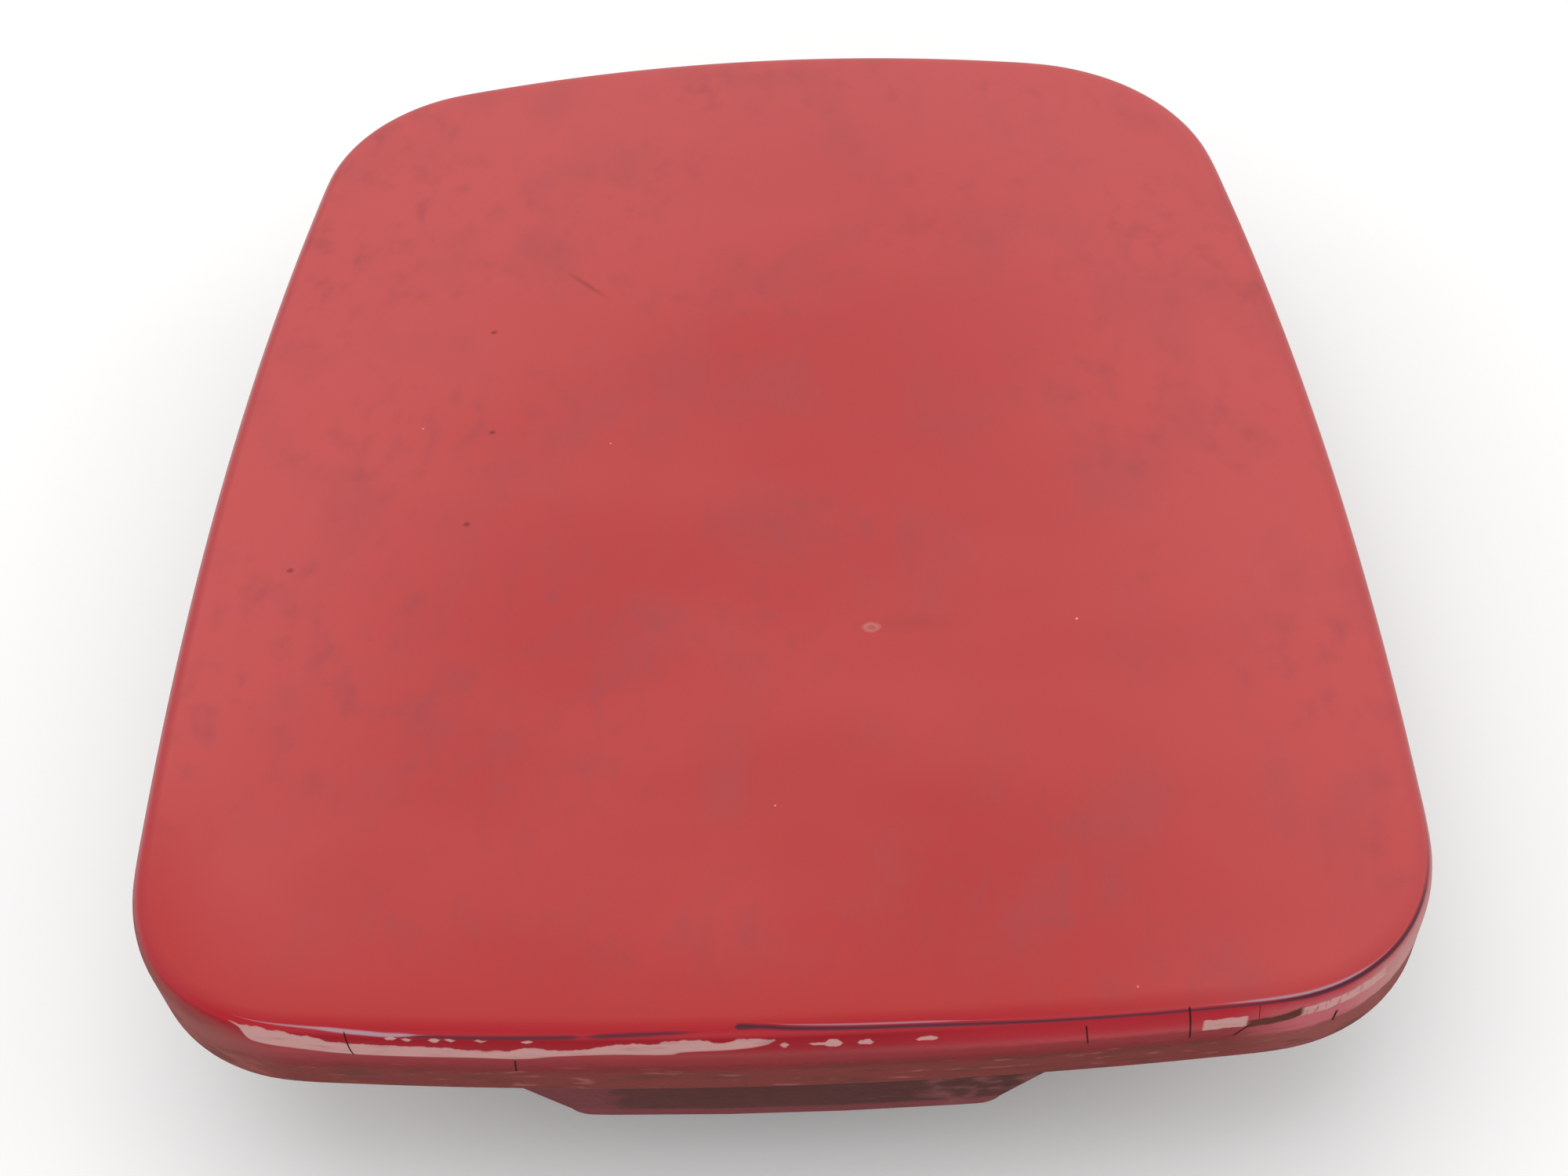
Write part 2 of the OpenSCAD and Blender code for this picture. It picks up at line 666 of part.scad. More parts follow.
// The first leg rises behind the pin, and the last one comes down before it.
spring_path = concat(
    [[coil_x0, coil_r + 5, foot_rest_z], [coil_x0, coil_r + 2.6, foot_rest_z],
        [coil_x0, coil_r + 1, foot_rest_z + 0.5], [coil_x0, coil_r + 0.2, foot_rest_z + 1.8],
        [coil_x0, coil_r, foot_rest_z + 4]],
    [for (k = [0:coil_steps * coil_total])
        let (a = 360 * k / coil_steps)
        [coil_x0 + coil_pitch * k / coil_steps, coil_r * cos(a), pin_z + coil_r * sin(a)]],
    [[coil_x1, -coil_r - 0.1, leg_rest_z + 1.8], [coil_x1, -coil_r - 0.8, leg_rest_z + 0.6],
        [coil_x1, -coil_r - 2.2, leg_rest_z], [coil_x1, arm_bend_y + 1, leg_rest_z]]
);

// Sweeps a round wire along a path. Each ring stands square to the path, and
// is turned so that it doesn't twist between rings.
function path_dir(path, i) =
    unit(path[min(i + 1, len(path) - 1)] - path[max(i - 1, 0)]);
function wire_ring(path, i, r, sides) = let (
    t = path_dir(path, i), u = unit(cross(t, cross([1, 0, 0], t))), v = cross(t, u)
) [for (j = [0:sides - 1]) path[i] + r * (u * cos(360 * j / sides) + v * sin(360 * j / sides))];

module wire(path, r, sides) {
    n = len(path);
    points = [for (i = [0:n - 1]) each wire_ring(path, i, r, sides)];
    faces = concat(
        [[for (j = [0:sides - 1]) j]],
        [for (i = [0:n - 2], j = [0:sides - 1])
            [i * sides + j, (i + 1) * sides + j,
                (i + 1) * sides + (j + 1) % sides, i * sides + (j + 1) % sides]],
        [[for (j = [sides - 1:-1:0]) (n - 1) * sides + j]]
    );
    polyhedron(points, [for (f = faces) [for (k = [len(f) - 1:-1:0]) f[k]]], convexity = 10);
}

module hinge_spring() {
    color(spring_steel) wire(spring_path, wire_d / 2, 8);
}

// --- cap holder and buffers --------------------------------------------------

holder_t = 2.5;
holder_len = 30;
holder_x = -20;
holder_y = panel_y - 18;
rivet_r = 2.4;
rivet_hole_r = 2.6;
holder_rivet_places = [for (side = [-1, 1]) [holder_x - holder_len / 2, holder_y + side * 7]];

module cap_holder() {
    top = dish_bottom;
    low = top - holder_gap;
    x0 = holder_x - holder_len / 2 - 6;
    bend = 3;
    color(black_plastic) translate([0, holder_y, 0]) difference() {
        rotate([90, 0, 0]) linear_extrude(holder_w, center = true)
            polygon(concat(
                [[x0, top], [x0, top - holder_t]],
                arc([holder_x - holder_t - bend, top - holder_t - bend], bend, 90, 0, 5),
                arc([holder_x + bend - holder_t + 2.5, low + bend - holder_t], bend + 2.5, 180, 270, 6),
                [[holder_x + 19, low - 2.5 - 0.01], [holder_x + 21, low + 1.5],
                    [holder_x + 19.5, low + 2.5], [holder_x + 17.5, low]],
                arc([holder_x + bend, low + bend], bend, 270, 180, 5),
                [[holder_x, top]]
            ));
        for (side = [-1, 1])
            translate([holder_x - holder_len / 2, side * 7, top - holder_t - 1])
                cylinder(h = holder_t + 2, r = rivet_hole_r);
    }
}

module holder_rivets() {
    head_t = 1.4;
    color(black_plastic) for (p = holder_rivet_places)
        translate([p[0], p[1], dish_bottom - holder_t])
            rotate_extrude() polygon([
                [0, -head_t], [3.4, -head_t], [4.2, -head_t * 0.4], [4.2, 0], [rivet_r, 0],
                [rivet_r, holder_t + panel_t + 0.05], [3.2, holder_t + panel_t + 1],
                [1.2, holder_t + panel_t + 4], [0, holder_t + panel_t + 4]
            ]);
}

buffer_neck_r = 3;
buffer_h = 7;
buffer_near_x = skin_near_w / 2 - dish_in - 12;
buffer_far_x = skin_far_w / 2 - dish_in - 6.5;
buffer_from_end = 31;
buffer_y = skin_len / 2 - buffer_from_end;
buffer_places = [
    [-buffer_near_x, panel_y - buffer_y], [buffer_near_x, panel_y - buffer_y],
    [-buffer_far_x, panel_y + buffer_y], [buffer_far_x, panel_y + buffer_y]
];

module buffer(k) {
    r = buffer_d / 2;
    color(black_rubber) translate([buffer_places[k][0], buffer_places[k][1], dish_bottom])
        rotate_extrude() polygon([
            [0, -buffer_h], [r - 2.4, -buffer_h], [r - 1.4, -buffer_h + 0.7], [r - 0.2, -1.2], [r, 0],
            [buffer_neck_r - 0.05, 0], [buffer_neck_r - 0.05, panel_t],
            [buffer_neck_r + 1.1, panel_t + 0.1], [buffer_neck_r - 0.6, panel_t + 3.2], [0, panel_t + 3.2]
        ]);
}
module buffer_near_left() { buffer(0); }
module buffer_near_right() { buffer(1); }
module buffer_far_left() { buffer(2); }
module buffer_far_right() { buffer(3); }

// --- what is drawn -----------------------------------------------------------

outer_skin();
inner_panel();
hem_sealer();
mastic_dabs();
latch_plate();
latch_striker();
striker_screws();
striker_weld_nuts();
hinge_arm();
arm_screws();
arm_weld_nuts();
cap_holder();
holder_rivets();
buffer_near_left();
buffer_near_right();
buffer_far_left();
buffer_far_right();
bush_left();
bush_right();
hinge_bracket();
hinge_pin();
pin_clip();
hinge_spring();
stop_pad();
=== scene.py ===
# %% [markdown]
# # A hinged fuel filler flap
#
# The object is the small painted door that covers the filler of a fuel tank. A steel skin with a
# turned-down rim is lined with a pressed inner panel, and hangs on a gooseneck arm. This lesson
# puts the looks on a finished CAD model, so sizes and places are read from that model.

# %% Load the frame
import contextlib
import json
import math

import bmesh
import bpy
import numpy as np
from mathutils import Matrix, Vector, geometry


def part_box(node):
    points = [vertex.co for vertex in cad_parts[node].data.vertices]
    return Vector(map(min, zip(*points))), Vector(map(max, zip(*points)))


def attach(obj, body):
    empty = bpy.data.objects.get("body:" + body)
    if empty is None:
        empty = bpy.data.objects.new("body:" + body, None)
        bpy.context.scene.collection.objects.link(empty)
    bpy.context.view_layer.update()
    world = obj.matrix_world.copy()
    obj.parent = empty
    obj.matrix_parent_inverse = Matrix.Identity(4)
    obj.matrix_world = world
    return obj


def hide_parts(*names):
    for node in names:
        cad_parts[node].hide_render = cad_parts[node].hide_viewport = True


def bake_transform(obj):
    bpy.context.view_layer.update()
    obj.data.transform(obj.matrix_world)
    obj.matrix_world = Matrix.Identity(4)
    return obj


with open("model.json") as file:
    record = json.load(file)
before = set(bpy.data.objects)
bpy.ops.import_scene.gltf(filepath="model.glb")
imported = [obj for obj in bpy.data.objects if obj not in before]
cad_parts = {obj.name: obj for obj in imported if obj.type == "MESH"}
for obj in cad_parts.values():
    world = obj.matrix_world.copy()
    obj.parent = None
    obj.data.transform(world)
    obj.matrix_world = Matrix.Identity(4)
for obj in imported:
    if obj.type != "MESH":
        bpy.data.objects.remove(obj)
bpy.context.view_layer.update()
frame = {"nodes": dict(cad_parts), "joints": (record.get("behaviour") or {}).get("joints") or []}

MM = 0.001

# %% [markdown]
# ## Small helpers
#
# Every piece here is a plain mesh at the origin, and every finish is a node tree. A few short
# functions keep the cells that follow about the object and not about Blender: one makes a mesh
# object, one turns an sRGB hex value to the linear colour that shaders use, and one adds a node
# with its settings and its links.


# %% Helpers
def colour(hex_value):
    """An sRGB hex value as linear red, green, blue and alpha."""
    parts = [int(hex_value[i:i + 2], 16) / 255 for i in (1, 3, 5)]
    return [p / 12.92 if p <= 0.04045 else ((p + 0.055) / 1.055) ** 2.4 for p in parts] + [1.0]


def add(tree, kind, inputs=(), out=0, **settings):
    """Adds a node with its settings and links, and gives one of its outputs.

    The inputs go by number or by name, and each is a value or another node's output. The output
    goes by name, or by number among those that the settings leave in use.
    """
    node = tree.nodes.new(kind)
    for name, value in settings.items():
        setattr(node, name, value)
    pairs = inputs.items() if isinstance(inputs, dict) else enumerate(inputs)
    for key, value in pairs:
        if isinstance(value, bpy.types.NodeSocket):
            tree.links.new(value, node.inputs[key])
        else:
            node.inputs[key].default_value = value
    if isinstance(out, str):
        return node.outputs[out]
    return [socket for socket in node.outputs if socket.enabled][out]


def new_object(name, data):
    """A new object in the scene, at the origin."""
    made = bpy.data.objects.new(name, data)
    bpy.context.scene.collection.objects.link(made)
    return made


def mesh_object(name, points, edges=(), faces=()):
    """A new object at the origin, with its place in its mesh."""
    mesh = bpy.data.meshes.new(name)
    mesh.from_pydata([tuple(p) for p in points], edges, faces)
    return new_object(name, mesh)


def finished(source, name):
    """The evaluated object as a plain mesh under a new name. The source is removed."""
    evaluated = source.evaluated_get(bpy.context.evaluated_depsgraph_get())
    mesh = bpy.data.meshes.new_from_object(evaluated)
    bpy.data.objects.remove(source)
    mesh.name = name
    print(f"{name}: {len(mesh.polygons)} faces")
    return new_object(name, mesh)


def new_group(name, inputs):
    """A Geometry Nodes group: its tree, and the outputs of its input node."""
    tree = bpy.data.node_groups.new(name, "GeometryNodeTree")
    tree.interface.new_socket("Geometry", in_out="OUTPUT", socket_type="NodeSocketGeometry")
    for label, kind, start in inputs:
        made = tree.interface.new_socket(label, in_out="INPUT", socket_type="NodeSocket" + kind)
        if start is not None:
            made.default_value = start
    return tree, tree.nodes.new("NodeGroupInput").outputs


def end_group(tree, shape, finish):
    """Makes a group's copies real, gives them their finish and hands them out."""
    shape = add(tree, "GeometryNodeRealizeInstances", [shape])
    shape = add(tree, "GeometryNodeSetMaterial", {"Geometry": shape, "Material": finish})
    tree.links.new(shape, tree.nodes.new("NodeGroupOutput").inputs[0])
    return tree


def grown(name, source, group, **inputs):
    """What a group makes of a source object, as a plain mesh. An input's spaces are underscores."""
    modifier = source.modifiers.new("growth", "NODES")
    modifier.node_group = group
    given = [item for item in group.interface.items_tree if item.in_out == "INPUT"]
    sockets = {item.name: item.identifier for item in given}
    for key, value in inputs.items():
        modifier[sockets[key.replace("_", " ")]] = value
    return finished(source, name)


@contextlib.contextmanager
def reshaped(mesh):
    """Opens a mesh for changes to its points, edges and faces, and writes it back."""
    shape = bmesh.new()
    shape.from_mesh(mesh)
    yield shape
    shape.to_mesh(mesh)
    shape.free()


def smooth_by_angle(piece, degrees):
    """Shades a mesh smooth, but keeps each edge sharper than an angle."""
    with reshaped(piece.data) as shape:
        for edge in shape.edges:
            edge.smooth = len(edge.link_faces) == 2 and edge.calc_face_angle() < math.radians(degrees)
        for face in shape.faces:
            face.smooth = True


def node_points(node):
    """A CAD node's points in the row frame, as an array."""
    return np.array([v.co for v in frame["nodes"][node].data.vertices], float).reshape(-1, 3)


def centre_of(low, high):
    """The X and Y of a box's centre."""
    return (low.x + high.x) / 2, (low.y + high.y) / 2


def islands(node):
    """Lowest and highest corner of each separate solid in a CAD node, sorted by Y and X."""
    shape = bmesh.new()
    shape.from_mesh(frame["nodes"][node].data)
    bmesh.ops.remove_doubles(shape, verts=shape.verts, dist=0.0005 * MM)
    left, found = set(shape.verts), []
    while left:
        group, edge_of = set(), [left.pop()]
        while edge_of:
            vert = edge_of.pop()
            group.add(vert)
            for edge in vert.link_edges:
                other = edge.other_vert(vert)
                if other in left:
                    left.remove(other)
                    edge_of.append(other)
        places = np.array([v.co for v in group])
        found.append((Vector(places.min(0)), Vector(places.max(0))))
    shape.free()
    return sorted(found, key=lambda pair: (round(pair[0].y, 4), pair[0].x))


# %% [markdown]
# ## Camera, floor and light
#
# The flap is seen from above its free edge with a normal lens, a quarter of a metre away. The
# camera's angles are set against the panel's own centre, which is the highest point of the skin.
# The light is a plain studio: a pale floor, a bright even room, and large soft lamps.

# %% Camera
skin_points = node_points("outer_skin")
panel_top = Vector(skin_points[skin_points[:, 2].argmax()])
camera_pitch = math.radians(50.15)
camera_turn = math.radians(3.4)
camera_roll = math.radians(-4.89)
camera_distance = 273.2 * MM
camera_aim = panel_top + Vector((1.58, -27.5, 0)) * MM

back = Vector((
    math.sin(camera_turn) * math.cos(camera_pitch),
    -math.cos(camera_turn) * math.cos(camera_pitch),
    math.sin(camera_pitch),
))
level_right = Vector((math.cos(camera_turn), math.sin(camera_turn), 0))
level_up = back.cross(level_right)
right = level_right * math.cos(camera_roll) + level_up * math.sin(camera_roll)
up = level_up * math.cos(camera_roll) - level_right * math.sin(camera_roll)

camera_data = bpy.data.cameras.new("camera")
camera_data.lens = 46.8
camera_data.clip_start = 10 * MM
camera = new_object("camera", camera_data)
camera.rotation_euler = Matrix((right, up, back)).transposed().to_euler()
camera.location = camera_aim + back * camera_distance
bpy.context.scene.camera = camera

# %% Floor, room and lamps
floor_half = 3.0
floor = mesh_object("floor", [
    (-floor_half, -floor_half, 0), (floor_half, -floor_half, 0),
    (floor_half, floor_half, 0), (-floor_half, floor_half, 0),
], faces=[(0, 1, 2, 3)])
floor_paint = bpy.data.materials.new("floor_matt_white")
floor_paint.use_nodes = True
floor_shader = floor_paint.node_tree.nodes["Principled BSDF"]
floor_shader.inputs["Base Color"].default_value = colour("#fdfcfa")
floor_shader.inputs["Roughness"].default_value = 0.9
floor.data.materials.append(floor_paint)

bpy.context.scene.view_settings.view_transform = "Standard"
room = bpy.data.worlds.new("room")
room.use_nodes = True
room.node_tree.nodes["Background"].inputs["Color"].default_value = colour("#f4f4f6")
room.node_tree.nodes["Background"].inputs["Strength"].default_value = 0.77
bpy.context.scene.world = room


def lamp(name, place, width, height, power, aim):
    """A soft rectangular lamp that faces its aim."""
    data = bpy.data.lights.new(name, "AREA")
    data.shape = "RECTANGLE"
    data.size, data.size_y, data.energy = width, height, power
    made = new_object(name, data)
    made.location = place
    made.rotation_euler = (Vector(place) - Vector(aim)).to_track_quat("Z", "Y").to_euler()


lamp("top_light", (-0.1, 0.1, 1.3), 1.4, 1.2, 4.5, panel_top)
lamp("back_light", (0.1, 1.4, 0.55), 1.6, 0.7, 3.6, panel_top)
lamp("left_light", (-1.2, -0.2, 0.6), 0.9, 0.9, 2.7, panel_top)
lamp("right_light", (1.2, -0.1, 0.6), 0.9, 0.9, 2.7, panel_top)
lamp("front_light", (0.0, -1.3, 0.5), 1.2, 0.5, 2.4, panel_top)

# %% [markdown]
# ## The outline, and a tree that sweeps a section round it
#
# Skin, inner panel and sealer all follow one outline: a rounded trapezoid with bowed sides. A
# press makes such a panel by folding one section down all the way round, so its shape follows a
# rule, and Geometry Nodes can make it. The outline is read from the CAD skin: it is the convex
# hull of the skin seen from above, and it runs anticlockwise from the middle of the far edge.

# %% The outline
seen_from_above = [Vector(p[:2]) for p in skin_points]
hull = geometry.convex_hull_2d(seen_from_above)
rim = 0.9999 * (np.array([seen_from_above[i] for i in hull]) - np.array(panel_top.xy))
following = np.roll(rim, -1, axis=0)
if np.sum(rim[:, 0] * following[:, 1] - following[:, 0] * rim[:, 1]) < 0:
    rim = rim[::-1]
rim = np.roll(rim, -rim[:, 1].argmax(), axis=0)
rim_steps = np.linalg.norm(np.roll(rim, -1, axis=0) - rim, axis=1)
rim_length = float(rim_steps.sum())
rim_edges = [(i, (i + 1) % len(rim)) for i in range(len(rim))]
outline_points = [(x, y, 0) for x, y in rim]
print(f"outline: {len(rim)} points, {rim_length / MM:.0f} mm round")

# %% [markdown]
# The section is a row of points. Each one says how far in from the rim it lies, how far below
# the crowned top, and its scale about the panel's middle. Two numbers ride along as attributes:
# how flat the point is, for a floor that leaves the crown, and how far along the sheet it is from
# the start of the bend, which the paint reads later. The tree takes a grid, and gives each of its
# points a place: one way along the grid goes round the outline, the other way down the section.


# %% The sweep tree
def sweep_tree():
    """Geometry Nodes that sweep a section round the outline and lay the result on the crown."""
    tree, given = new_group("sweep_round_outline", (
        ("Outline", "Geometry", None), ("Section", "Object", None), ("Finish", "Material", None),
        ("Around", "Int", 420), ("Start", "Float", 0.0), ("Span", "Float", 1.0),
        ("End Taper", "Float", 0.0), ("Crown Radius", "Float", 1.8), ("Top", "Vector", (0, 0, 0)),
        ("Heart", "Vector", (0, 0, 1)), ("Lump Height", "Float", 0.0), ("Lump Size", "Float", 0.003),
    ))

    # A grid with one column for each place round the outline, and one row for each section point.
    section = add(tree, "GeometryNodeObjectInfo", {"Object": given["Section"]}, out="Geometry")
    rows = add(tree, "GeometryNodeAttributeDomainSize", [section], component="MESH")
    grid = add(tree, "GeometryNodeMeshGrid", [1.0, 1.0, given["Around"], rows])
    share = add(tree, "ShaderNodeSeparateXYZ", [grid.node.outputs["UV Map"]]).node.outputs
    last_row = add(tree, "ShaderNodeMath", [rows, 1.0], operation="SUBTRACT")
    row = add(tree, "ShaderNodeMath", [share["Y"], last_row], operation="MULTIPLY")
    row = add(tree, "FunctionNodeFloatToInt", [row], rounding_mode="ROUND")

    # Where the column stands on the outline, and which way is outwards there.
    curve = add(tree, "GeometryNodeMeshToCurve", [given["Outline"]])
    curve = add(tree, "GeometryNodeCurveSplineType", [curve], spline_type="CATMULL_ROM")
    turn = [share["X"], given["Span"], given["Start"]]
    turn = add(tree, "ShaderNodeMath", turn, operation="MULTIPLY_ADD")
    turn = add(tree, "ShaderNodeMath", [turn], operation="FRACT")
    on_rim = add(tree, "GeometryNodeSampleCurve", {"Curves": curve, "Factor": turn},
                 mode="FACTOR", use_all_curves=True).node.outputs
    upward = (0, 0, 1)
    outward = add(tree, "ShaderNodeVectorMath", [on_rim["Tangent"], upward], operation="CROSS_PRODUCT")

    # The row's point of the section. Near the ends of an open sweep it shrinks to the heart.
    place = add(tree, "GeometryNodeInputPosition")
    point = add(tree, "GeometryNodeSampleIndex", {"Geometry": section, "Value": place, "Index": row},
                data_type="FLOAT_VECTOR", domain="POINT")
    to_end = add(tree, "ShaderNodeMath", [share["X"], 0.5], operation="SUBTRACT")
    to_end = add(tree, "ShaderNodeMath", [to_end], operation="ABSOLUTE")
    tapered = add(tree, "ShaderNodeMath", [0.5, given["End Taper"]], operation="SUBTRACT")
    ripe = add(tree, "ShaderNodeMapRange", [to_end, 0.5, tapered])
    ripe = add(tree, "ShaderNodeMath", [ripe, 0.5], operation="POWER")
    open_end = add(tree, "FunctionNodeCompare", [given["End Taper"], 0.0], operation="GREATER_THAN")
    ripe = add(tree, "GeometryNodeSwitch", {
        "Switch": open_end, "False": 1.0, "True": ripe}, input_type="FLOAT")
    point = add(tree, "ShaderNodeMix", {0: ripe, 4: given["Heart"], 5: point}, data_type="VECTOR")
    inset = add(tree, "ShaderNodeSeparateXYZ", [point]).node.outputs

    # Inset from the rim, scale about the middle, and drop below the crown.
    inwards = add(tree, "ShaderNodeMath", [inset["X"], -1.0], operation="MULTIPLY")
    shift = add(tree, "ShaderNodeVectorMath", {0: outward, "Scale": inwards}, operation="SCALE")
    level = add(tree, "ShaderNodeVectorMath", [on_rim["Position"], shift], operation="ADD")
    full_reach = add(tree, "ShaderNodeVectorMath", [level], out="Value", operation="LENGTH")
    level = add(tree, "ShaderNodeVectorMath", {0: level, "Scale": inset["Z"]}, operation="SCALE")
    flatness, across = [
        add(tree, "GeometryNodeSampleIndex", {
            "Geometry": section, "Index": row,
            "Value": add(tree, "GeometryNodeInputNamedAttribute", [name], data_type="FLOAT"),
        }, data_type="FLOAT", domain="POINT")
        for name in ("flat", "across")
    ]
    reach = add(tree, "ShaderNodeVectorMath", [level], out="Value", operation="LENGTH")
    sag = add(tree, "ShaderNodeMath", [reach, reach], operation="MULTIPLY")
    sag = add(tree, "ShaderNodeMath", [sag, given["Crown Radius"]], operation="DIVIDE")
    crowned = add(tree, "ShaderNodeMapRange", [flatness, 0.0, 1.0, -0.5, 0.0])
    fall = add(tree, "ShaderNodeMath", [inset["Y"], -1.0], operation="MULTIPLY")
    fall = add(tree, "ShaderNodeMath", [sag, crowned, fall], operation="MULTIPLY_ADD")
    fall = add(tree, "ShaderNodeCombineXYZ", {"Z": fall})
    final = add(tree, "ShaderNodeVectorMath", [level, fall], operation="ADD")
    final = add(tree, "ShaderNodeVectorMath", [final, given["Top"]], operation="ADD")

    # Lumps push a hand-laid bead about by a noise of about their size.
    grain = add(tree, "ShaderNodeMath", [1.0, given["Lump Size"]], operation="DIVIDE")
    field = add(tree, "ShaderNodeTexNoise", {"Vector": final, "Scale": grain, "Detail": 3.0}, out="Color")
    centred = add(tree, "ShaderNodeVectorMath", [field, (0.5, 0.5, 0.5)], operation="SUBTRACT")
    height = add(tree, "ShaderNodeMath", [given["Lump Height"], ripe], operation="MULTIPLY")
    lump = add(tree, "ShaderNodeVectorMath", {0: centred, "Scale": height}, operation="SCALE")
    shape = add(tree, "GeometryNodeSetPosition", {"Geometry": grid, "Position": final, "Offset": lump})
    shape = add(tree, "GeometryNodeFlipFaces", [shape])

    # The way along the sheet: negative on the top, zero where the bend starts.
    missing = add(tree, "ShaderNodeMath", [inset["Z"], 1.0], operation="SUBTRACT")
    missing = add(tree, "ShaderNodeMath", [missing, full_reach], operation="MULTIPLY")
    across = add(tree, "ShaderNodeMath", [missing, 1 / MM, across], operation="MULTIPLY_ADD")
    shape = add(tree, "GeometryNodeStoreNamedAttribute", {
        "Geometry": shape, "Name": "across", "Value": across}, data_type="FLOAT", domain="POINT")
    shape = add(tree, "GeometryNodeMergeByDistance", {"Geometry": shape, "Distance": 0.002 * MM})
    return end_group(tree, add(tree, "GeometryNodeSetShadeSmooth", [shape]), given["Finish"])


sweep = sweep_tree()
print(f"the sweep tree has {len(sweep.nodes)} nodes")


# %% Section points
def fold(inset, drop, radius, first, last, steps):
    """Points round a bend about a centre: 0 degrees is its top, 90 its outermost point."""
    turns = np.radians(np.linspace(first, last, steps + 1))
    return [(inset - radius * math.sin(a), drop - radius * math.cos(a)) for a in turns]


def section_object(name, rows):
    """A section for the sweep tree. A row is inset, drop, share, flatness and way along, in mm."""
    made = mesh_object(name, [(inset * MM, drop * MM, share) for inset, drop, share, _, _ in rows])
    for column, attribute in ((3, "flat"), (4, "across")):
        values = made.data.attributes.new(attribute, "FLOAT", "POINT")
        values.data.foreach_set("value", [row[column] for row in rows])
    return made


def swept(name, section, finish, **inputs):
    """A piece that the sweep tree makes from a section, as a plain mesh."""
    source = mesh_object(name + "_source", outline_points, edges=rim_edges)
    made = grown(name, source, sweep, Section=section, Finish=finish, Top=panel_top, **inputs)
    bpy.data.objects.remove(section)
    return made


# %% [markdown]
# ## Patterns in millimetres
#
# Each finish reads the place of a point on the object in millimetres, measured from the middle of
# the panel, so that every grain, spot and stain has a real size. Four small patterns do most of
# the work: clouds of a given size, spots, stripes, and a height that changes along the panel. A
# surface is kept as two things, its colour and its roughness, and each layer covers both where
# all of its masks are 1.


# %% Pattern helpers
def new_finish(name, **constants):
    """A new material, its tree, its shader, and the place of a point in millimetres."""
    finish = bpy.data.materials.new(name)
    finish.use_nodes = True
    tree = finish.node_tree
    shader = tree.nodes["Principled BSDF"]
    for key, value in constants.items():
        shader.inputs[key.replace("_", " ")].default_value = value
    coords = add(tree, "ShaderNodeTexCoord", out="Object")
    place = add(tree, "ShaderNodeMapping", {
        "Vector": coords, "Location": -panel_top / MM, "Scale": [1 / MM] * 3})
    return finish, tree, shader, place


def clouds(tree, place, size, low, high, strength=1.0, detail=3.0, shift=0.0):
    """Patches of a size in mm: 0 where a noise is under low, and strength where it is over high."""
    moved = add(tree, "ShaderNodeMapping", {
        "Vector": place, "Location": [shift, -shift, shift * 0.7], "Scale": [1 / s for s in size]})
    field = add(tree, "ShaderNodeTexNoise", {"Vector": moved, "Scale": 1.0, "Detail": detail})
    ends = [field, low, high, 0.0, strength]
    return add(tree, "ShaderNodeMapRange", ends, interpolation_type="SMOOTHSTEP")


def stripe(tree, value, middle, half, soft):
    """1 within half a width on either side of a middle, with edges that are soft inwards. In mm."""
    away = add(tree, "ShaderNodeMath", [value, middle], operation="SUBTRACT")
    away = add(tree, "ShaderNodeMath", [away], operation="ABSOLUTE")
    over = add(tree, "ShaderNodeMath", [away, half], operation="SUBTRACT")
    return add(tree, "ShaderNodeMapRange", [over, 0.0, -soft])


def joined(tree, masks, operation):
    """Several masks as one: MULTIPLY where all of them are 1, MAXIMUM where any of them is.

    A mask is a node's output, or a ramp: a value, where the mask is 0 and where it is 1, and then
    its least and its greatest if they are not 0 and 1.
    """
    found = None
    for mask in masks:
        if isinstance(mask, tuple):
            mask = add(tree, "ShaderNodeMapRange", mask)
        found = mask if found is None else add(tree, "ShaderNodeMath", [found, mask], operation=operation)
    return found


def share_of_reach(tree, place, centre, reach):
    """How far a point is from a centre, where 1 is an ellipse with this reach in mm."""
    away = add(tree, "ShaderNodeVectorMath", [place, centre], operation="SUBTRACT")
    away = add(tree, "ShaderNodeVectorMath", [away, reach], operation="DIVIDE")
    return add(tree, "ShaderNodeVectorMath", [away], operation="LENGTH")


def spots(tree, place, centres, reach, soft):
    """1 inside ellipses of one reach in mm about several centres, with soft edges."""
    masks = [(share_of_reach(tree, place, centre, reach), 1 + soft, 1 - soft) for centre in centres]
    return joined(tree, masks, "MAXIMUM")


def profile(tree, along, points):
    """A height in mm that follows a smooth curve through points of (place, height) in mm."""
    first, last = points[0][0], points[-1][0]
    tallest = max(height for _, height in points)
    share = add(tree, "ShaderNodeMapRange", [along, first, last])
    curve = add(tree, "ShaderNodeFloatCurve", {"Value": share})
    mapping = curve.node.mapping
    while len(mapping.curves[0].points) < len(points):
        mapping.curves[0].points.new(0.5, 0.5)
    for point, (where, height) in zip(mapping.curves[0].points, points):
        point.location = ((where - first) / (last - first), height / tallest)
    mapping.update()
    return add(tree, "ShaderNodeMath", [curve, tallest], operation="MULTIPLY")


def layered(tree, surface, *layers):
    """Lays layers over a surface. A layer is its masks, its colour and its roughness."""
    for masks, tint, roughness in layers:
        mask = joined(tree, masks, "MULTIPLY")
        surface = (
            add(tree, "ShaderNodeMix", {0: mask, 6: surface[0], 7: colour(tint)}, data_type="RGBA"),
            add(tree, "ShaderNodeMix", {0: mask, 2: surface[1], 3: roughness}, data_type="FLOAT"),
        )
    return surface


def clouded(tree, place, surface, *layers):
    """Lays layers of clouds over a surface. A layer is its clouds, its colour and its roughness."""
    return layered(tree, surface, *[
        ([clouds(tree, place, **cloud)], tint, roughness) for cloud, tint, roughness in layers])


